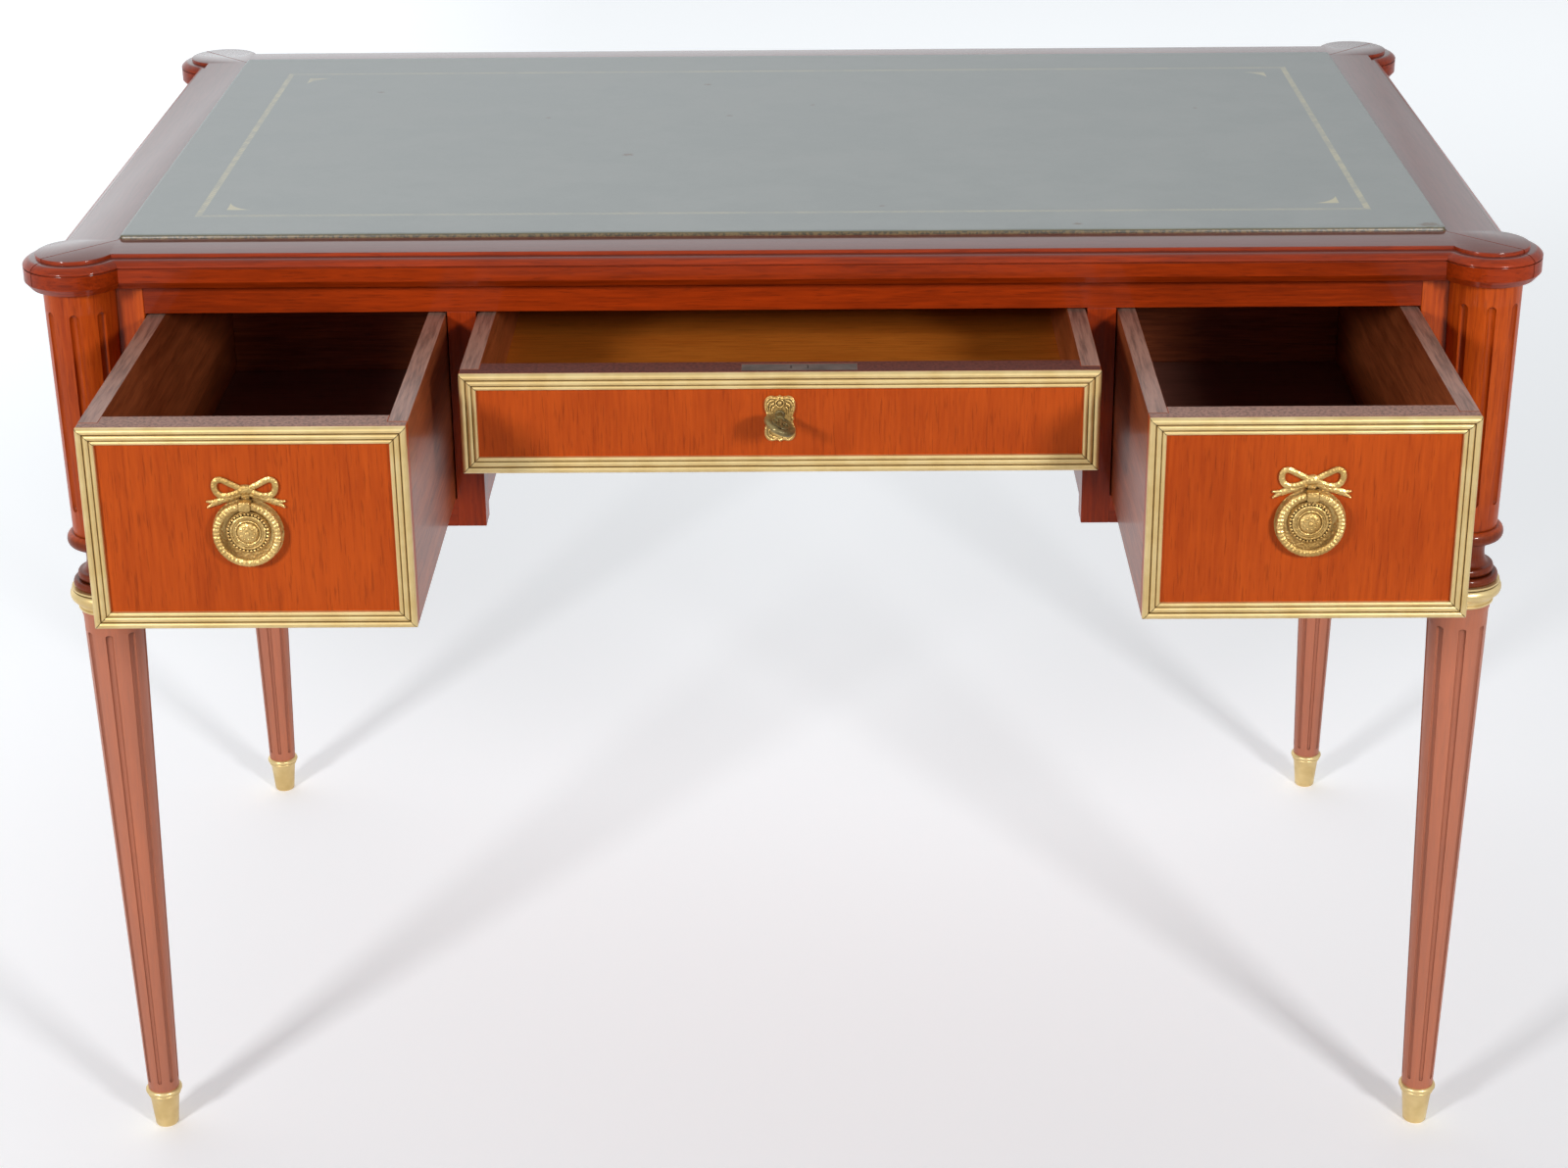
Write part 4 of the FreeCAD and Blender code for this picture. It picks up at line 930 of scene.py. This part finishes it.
LEG_CORNERS = (("leg_front_left", -1, front_y, 0), ("leg_front_right", 1, front_y, 90),
               ("leg_back_right", 1, back_y, 180), ("leg_back_left", -1, back_y, 270))
for node, side, leg_y, turn in LEG_CORNERS:
    piece(node + "_turned", placed(leg_mesh(), (side * leg_x, leg_y, 0), turn), leg_wood, "desk",
          [node])
leg_spots = [(side * leg_x, leg_y, 0) for _, side, leg_y, _ in LEG_CORNERS]
piece("leg_collars_turned", joined(*[placed(collar(), spot) for spot in leg_spots]), brass, "desk",
      ["leg_collars"])
piece("foot_cups_turned", joined(*[placed(cup(), spot) for spot in leg_spots]), brass, "desk",
      ["foot_cups"])


# Reeded frames

def reed_profile():
    """(in, out) points across a frame, from its outer edge."""
    points = [(0, 0)]
    start = 0
    for width, rise in REEDS:
        for step in range(REED_STEPS + 1):
            angle = math.pi * step / REED_STEPS
            points.append((start + width * (1 - math.cos(angle)) / 2,
                           REED_BASE - REED_SINK + (rise + REED_SINK) * math.sin(angle)))
        start += width
    return points + [(start, 0)]


def reeded_frame(half_width, low_z, high_z):
    """Four mitred bars of reeds in the XZ plane, facing -Y."""
    half_height = (high_z - low_z) / 2
    bars = []
    for turn, along, across in ((0, half_width, half_height), (90, half_height, half_width),
                                (180, half_width, half_height), (270, half_height, half_width)):
        rows = [[(side * (along - inset - REED_MITRE_GAP), -out, inset - across)
                 for inset, out in reed_profile()] for side in (-1, 1)]
        bars.append(placed(skin(rows), turn=turn, axis="Y"))
    return placed(joined(*bars), (0, 0, (low_z + high_z) / 2))


def drawer_frame(drawer, face_y, turn=0):
    """A reeded frame as wide and high as a drawer's own, on a face at face_y."""
    low, high = (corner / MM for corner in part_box(drawer + "_moulding"))
    mesh = reeded_frame((high.x - low.x) / 2, low.z, high.z)
    return placed(mesh, ((low.x + high.x) / 2, face_y, 0), turn)


for drawer in DRAWERS:
    frame_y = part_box(drawer + "_front")[0].y / MM
    piece(drawer + "_reeds", drawer_frame(drawer, frame_y), brass, drawer, [drawer + "_moulding"])
side_low, side_high = (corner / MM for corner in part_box("side_mouldings"))
side_mesh = reeded_frame((side_high.y - side_low.y) / 2, side_low.z, side_high.z)
side_frames = [placed(side_mesh, (x, top_middle, 0), turn) for x, turn in ((-leg_x, 270), (leg_x, 90))]
piece("side_reeds", joined(*side_frames), brass, "desk", ["side_mouldings"])
back_frames = [drawer_frame(drawer, back_y, 180) for drawer in DRAWERS]
piece("back_reeds", joined(*back_frames), brass, "desk", ["back_mouldings"])


# Ring pulls

def rosette():
    """A dished plate with a moulded rim, steps and a round boss."""
    return facing([*ROSETTE_EDGE, *bulge(*ROSETTE_RIM)[1:], *ROSETTE_STEPS], ROSETTE_SIDES)


def bead_ring(circle, forward, count, radius):
    """Round beads on a circle that faces -Y."""
    return joined(*[ball((x, -forward, z), (radius,) * 3) for x, z in oval(circle, circle, count)])


def bow():
    """Half of a ribbon bow about its knot: a loop and a tail with two points."""
    loop = bead(smooth_path(BOW_LOOP), *BOW_LOOP_STRIP)
    tail = bead(smooth_path(BOW_TAIL), *BOW_TAIL_STRIP)
    prongs = [bead(smooth_path(prong), *BOW_PRONG_STRIP) for prong in BOW_PRONGS]
    return joined(loop, tail, *prongs)


def pull_plate():
    """Plate, beads, bow, knot and the knuckle that holds the ring."""
    right = placed(bow(), (0, 0, BOW_LIFT))
    knot = ball((0, -KNOT_FORWARD, BOW_LIFT - KNOT_DROP), KNOT_RADII, sides=20, steps=10)
    strap_line = [(0, BOW_LIFT - drop) for drop in STRAP_DROPS] + [(0, PULL_RING_RADIUS)]
    strap = bead(strap_line, *STRAP_STRIP)
    knuckle_front = -PULL_RING_OFFSET - KNUCKLE_RADIUS + KNUCKLE_FRONT_INSET
    knuckle = rounded_box((-KNUCKLE_WIDTH / 2, knuckle_front, PULL_RING_RADIUS - KNUCKLE_RADIUS),
                          (KNUCKLE_WIDTH / 2, -KNUCKLE_BACK, PULL_RING_RADIUS + KNUCKLE_RADIUS),
                          KNUCKLE_ROUND)
    boss = ball((0, -BOSS_FORWARD, 0), BOSS_RADII)
    return joined(rosette(), bead_ring(*BEADS), bead_ring(*DOTS), boss, right, mirrored(right), knot, strap,
                  knuckle)


def pull_ring():
    """A flattened ring, open at the knuckle, with a chased band of leaves round its face, and its pin."""
    gap = math.asin((KNUCKLE_WIDTH / 2 + RING_END_GAP) / PULL_RING_RADIUS)
    rows = []
    count = RING_LUMP_ROWS * RING_LUMPS
    for step in range(count + 1):
        angle = math.pi / 2 + gap + (2 * math.pi - 2 * gap) * step / count
        chased = RING_CHASE * (math.cos(2 * math.pi * RING_LUMPS * step / count) - 1) / 2
        half_band = PULL_RING_HALF_BAND + chased * RING_EDGE_CHASE
        row = []
        for a in turn_angles(RING_SIDES):
            half_thick = PULL_RING_HALF_THICK + chased * RING_FACE_CHASE * max(0, math.sin(a)) ** 2
            reach = PULL_RING_RADIUS + half_band * math.cos(a)
            forward = PULL_RING_OFFSET + half_thick * math.sin(a)
            row.append((reach * math.cos(angle), -forward, reach * math.sin(angle)))
        rows.append(row)
    pin_end = KNUCKLE_WIDTH / 2 + PIN_HOLD
    pin = placed(lathe([(PIN_RADIUS, -pin_end), (PIN_RADIUS, pin_end)], PIN_SIDES), turn=90, axis="Y")
    return joined(skin(rows), placed(pin, (0, -PULL_RING_OFFSET, PULL_RING_RADIUS)))


for side in ("left", "right"):
    low, high = (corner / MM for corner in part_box(side + "_pull_plate"))
    spot = ((low.x + high.x) / 2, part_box(side + "_drawer_front")[0].y / MM, PULL_Z)
    piece(side + "_pull_rosette", placed(pull_plate(), spot), gilt, side + "_drawer",
          [side + "_pull_plate"])
    piece(side + "_pull_hoop", placed(pull_ring(), spot), gilt, side + "_ring",
          [side + "_pull_ring"])


# Lock, escutcheon and key

def escutcheon():
    """A shield plate with a raised border, scrolls, leaves, an upper stud and a round keyhole."""
    half = [(ESCUTCHEON_HALF_WIDTH * x, ESCUTCHEON_HALF_HEIGHT * z) for x, z in SHIELD]
    right = [(x, -z) for x, z in half[:0:-1]] + half
    ring = smooth_path(right + [(-x, z) for x, z in right[-2:0:-1]], SHIELD_STEPS, closed=True)
    hole = oval(KEYHOLE_RADIUS, KEYHOLE_RADIUS, len(ring), ESCUTCHEON_DROP, start=-90)
    rows = [[(x * share, -out, z * share) for x, z in ring] for share, out in SHIELD_LEVELS]
    rows += [[(x, -out, z) for x, z in hole] for out in KEYHOLE_LEVELS]
    plate = skin(rows + rows[:1], ends=False)
    border = bead([(x * SHIELD_BORDER[0], z * SHIELD_BORDER[1]) for x, z in ring], *SHIELD_BORDER_STRIP,
                  closed=True, sides=FINE_STRIP_SIDES)
    right_lines = joined(*[bead(smooth_path(line), *LEAF_STRIP, sides=FINE_STRIP_SIDES)
                           for line in (SCROLL, *LEAVES)])
    stud_rim = bead(oval(STUD_RIM_RADIUS, STUD_RIM_RADIUS, STUD_RIM_POINTS, STUD_Z), *STUD_RIM_STRIP,
                    closed=True, sides=FINE_STRIP_SIDES)
    stud = ball((0, -STUD_FORWARD, STUD_Z), STUD_RADII)
    return joined(plate, border, right_lines, mirrored(right_lines), stud_rim, stud)


def key():
    """A key along Y: collared shank, bit, and an oval bow with a raised rim, a stem and two lobes."""
    shank = facing(KEY_SHANK, KEY_SHANK_SIDES)
    edge = oval(*KEY_BOW_RADII, KEY_BOW_POINTS)
    rim = bead(edge, *KEY_RIM_STRIP, closed=True)
    web = skin([[(x, y, z) for x, z in edge] for y in (-KEY_WEB_HALF, KEY_WEB_HALF)])
    stem = bead(KEY_STEM, *KEY_STEM_STRIP)
    lobes = [bead(smooth_path([(sign * x, z) for x, z in KEY_LOBE]), *KEY_LOBE_STRIP) for sign in (-1, 1)]
    flat = joined(rim, web, stem, *lobes)
    laid = [(x, KEY_BOW_Y + z, y) for x, y, z in flat[0]], flat[1]
    return placed(joined(shank, laid, rounded_box(*KEY_BIT, KEY_BIT_ROUND)), turn=KEY_TURN, axis="Y")


def screw():
    """A flat screw head with a slot between two lips."""
    low_z, high_z = SCREW_LIP_HEIGHTS
    half = SCREW_LIP_HALF_LENGTH
    lips = [rounded_box((-half, y, low_z), (half, y + SCREW_LIP_WIDTH, high_z), SCREW_LIP_ROUND)
            for y in SCREW_LIP_STARTS]
    return joined(lathe(SCREW_HEAD, SCREW_SIDES), *lips)


lock_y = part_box("centre_drawer_front")[0].y / MM
piece("escutcheon_cast", placed(escutcheon(), (0, lock_y, KEY_Z - ESCUTCHEON_DROP)), gilt, "centre_drawer",
      ["escutcheon"])
piece("key_turned", placed(key(), (0, lock_y, KEY_Z)), bronze, "key", ["key"])
lock_low, lock_high = (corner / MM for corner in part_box("lock_case"))
screws = [placed(screw(), (x, lock_y + LOCK_PLATE_MIDDLE, lock_high.z - SCREW_SINK), SCREW_TURN)
          for x in (lock_low.x + SCREW_INSET, lock_high.x - SCREW_INSET)]
piece("lock_screws", joined(*screws), steel, "centre_drawer")


# CAD pieces that keep their own shape

KEPT = {"top_panel": inner["x"], "front_rail": mahogany["x"], "back_panel": mahogany["x"],
        "kickers": inner["y"], "drawer_guides": inner["y"], "drawer_stops": inner["x"],
        "lock_case": steel, "lock_bolt": steel}
for side in ("left", "right", "centre"):
    KEPT["bottom_rail_" + side] = mahogany["x"]
    KEPT["dustboard_" + side] = inner["y"]
for side in ("left", "right"):
    KEPT["divider_" + side] = mahogany["z"]
    KEPT["partition_" + side] = mahogany["y"]
    KEPT["side_panel_" + side] = mahogany["y"]
for drawer in DRAWERS:
    KEPT[drawer + "_front"] = centre_face if drawer == "centre_drawer" else drawer_face
    for board, axis in (("side_left", "y"), ("side_right", "y"), ("back", "x")):
        KEPT[f"{drawer}_{board}"] = drawer_board[axis]
    KEPT[drawer + "_bottom"] = golden if drawer == "centre_drawer" else inner["x"]
for node, material in KEPT.items():
    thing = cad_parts[node]
    thing.data.materials.clear()
    thing.data.materials.append(material)
    weld = thing.modifiers.new("joined_corners", "WELD")
    weld.merge_threshold = CORNER_WELD * MM
    soft = thing.modifiers.new("soft_edges", "BEVEL")
    soft.width = EDGE_SOFTNESS * MM
    soft.segments = 2
    soft.limit_method = "ANGLE"


# Floor, light and camera

FLOOR_REACH = 9000
FLOOR_BEND = 4600
FLOOR_CURVE = 900
FLOOR_CURVE_TURN = 60
FLOOR_CURVE_STEPS = 12
FLOOR_TONES = (tone(240, 241, 244), tone(246, 247, 250))
FLOOR_TONE_SCALE = 0.8
# The floor glows a little towards the back, the left and far away, over distances in metres
FLOOR_PALE_LEAST = 0.04
FLOOR_PALE_FROM = (-2.0, 3.8)
FLOOR_PALE = 0.5
FLOOR_LEFT_FROM = (0.4, 1.4)
FLOOR_LEFT = 0.26
FLOOR_FAR_FROM = (2.0, 5.0)
FLOOR_FAR = 0.45
BACKGROUND = 0.82
PALE_TINT = (0.92, 0.97, 1, 1)
# The studio is bright behind the desk and dark in front of it; shares of the ray's direction
SKY_MIDDLE = 0.34
SKY_BACK = 0.6
SKY_RISE = 0.3
SKY_LEFT = 1.3
SKY_LEAST = 0.1
# Lamps, as (name, place, aim) in metres
LAMPS = (("left_soft", (-1.9, -2.6, 1.75), (-0.3, 0, 0.6)), ("right_soft", (1.75, -2.7, 1.75), (0.3, 0, 0.6)))
LAMP_SIZE = 0.5
LAMP_POWER = 11.2
LAMP_SPREAD = 75


def seen_rays(tree):
    """1 where the surroundings are seen, directly, in a shine or through glass, and 0 where they light."""
    seen = add(tree, "LightPath").outputs
    return calc(tree, "MAXIMUM", seen["Is Camera Ray"],
                calc(tree, "MAXIMUM", seen["Is Glossy Ray"], seen["Is Transmission Ray"]))


def floor_material():
    """Pale paint with a glow for the rays that see it."""
    material, tree = new_material("pale_floor")
    colour = blend(tree, noise(tree, place(tree), FLOOR_TONE_SCALE, detail=2.0), *FLOOR_TONES)
    finish_material(material, colour, roughness=0.9, specular=0.1)
    across, deep, _ = parts_of(tree, place(tree))
    back = times(tree, ramp(tree, deep, *FLOOR_PALE_FROM), FLOOR_PALE)
    left = times(tree, ramp(tree, times(tree, across, -1.0), *FLOOR_LEFT_FROM), FLOOR_LEFT)
    near = plus(tree, plus(tree, back, left), FLOOR_PALE_LEAST)
    distance = add(tree, "VectorMath", {"operation": "LENGTH"}, i0=place(tree)).outputs["Value"]
    far = times(tree, ramp(tree, distance, *FLOOR_FAR_FROM), FLOOR_FAR)
    shader = tree.nodes["Principled BSDF"]
    shader.inputs["Emission Color"].default_value = PALE_TINT
    tree.links.new(times(tree, calc(tree, "MAXIMUM", near, far), seen_rays(tree)),
                   shader.inputs["Emission Strength"])
    return material


def floor():
    """A wide pale floor whose far end bends up a little."""
    line = [(-FLOOR_REACH, 0), (0, 0), (FLOOR_BEND, 0)]
    for step in range(1, FLOOR_CURVE_STEPS + 1):
        angle = math.radians(FLOOR_CURVE_TURN) * step / FLOOR_CURVE_STEPS
        line.append((FLOOR_BEND + FLOOR_CURVE * math.sin(angle), FLOOR_CURVE * (1 - math.cos(angle))))
    rows = [[(-FLOOR_REACH, y, z), (FLOOR_REACH, y, z)] for y, z in line]
    points, faces = skin(rows, ring=False, ends=False)
    data = bpy.data.meshes.new("floor")
    data.from_pydata([Vector(point) * MM for point in points], [], faces)
    data.shade_smooth()
    data.materials.append(floor_material())
    thing = bpy.data.objects.new("floor", data)
    bpy.context.scene.collection.objects.link(thing)


def lamp(name, spot, aim):
    """A square soft lamp whose beam is kept near the desk."""
    data = bpy.data.lights.new(name, "AREA")
    data.size = LAMP_SIZE
    data.spread = math.radians(LAMP_SPREAD)
    data.energy = LAMP_POWER
    thing = bpy.data.objects.new(name, data)
    thing.location = spot
    thing.rotation_euler = (Vector(aim) - Vector(spot)).to_track_quat("-Z", "Y").to_euler()
    bpy.context.scene.collection.objects.link(thing)


def world_light():
    """A pale room, brighter behind the desk and to its left."""
    world = bpy.data.worlds.new("studio")
    world.use_nodes = True
    tree = world.node_tree
    across, back, _ = parts_of(tree, add(tree, "TexCoord").outputs["Generated"])
    bright = plus(tree, SKY_MIDDLE, times(tree, back, SKY_BACK))
    bright = plus(tree, bright, times(tree, times(tree, back, back), SKY_RISE))
    tilt = times(tree, across, calc(tree, "MAXIMUM", back, 0.0))
    bright = minus(tree, bright, times(tree, tilt, SKY_LEFT))
    seen = seen_rays(tree)
    least = calc(tree, "MAXIMUM", times(tree, seen, BACKGROUND), SKY_LEAST)
    light = tree.nodes["Background"]
    tree.links.new(blend(tree, seen, (1, 1, 1, 1), PALE_TINT), light.inputs["Color"])
    tree.links.new(calc(tree, "MAXIMUM", bright, least), light.inputs["Strength"])
    bpy.context.scene.world = world


def camera():
    """The camera, which looks along +Y before its turns."""
    data = bpy.data.cameras.new("photo_view")
    data.sensor_fit = "HORIZONTAL"
    data.sensor_width = CAMERA_SENSOR
    data.lens = CAMERA_LENS
    thing = bpy.data.objects.new("photo_view", data)
    turn = Matrix.Identity(3)
    for degrees, axis in ((CAMERA_YAW, "Z"), (CAMERA_PITCH, "X"), (CAMERA_ROLL, "Y"), (90, "X")):
        turn = turn @ Matrix.Rotation(math.radians(degrees), 3, axis)
    thing.matrix_world = Matrix.Translation(Vector(CAMERA_PLACE) * MM) @ turn.to_4x4()
    bpy.context.scene.collection.objects.link(thing)
    bpy.context.scene.camera = thing


floor()
world_light()
for lamp_setting in LAMPS:
    lamp(*lamp_setting)
camera()
bpy.context.scene.view_settings.view_transform = "Standard"
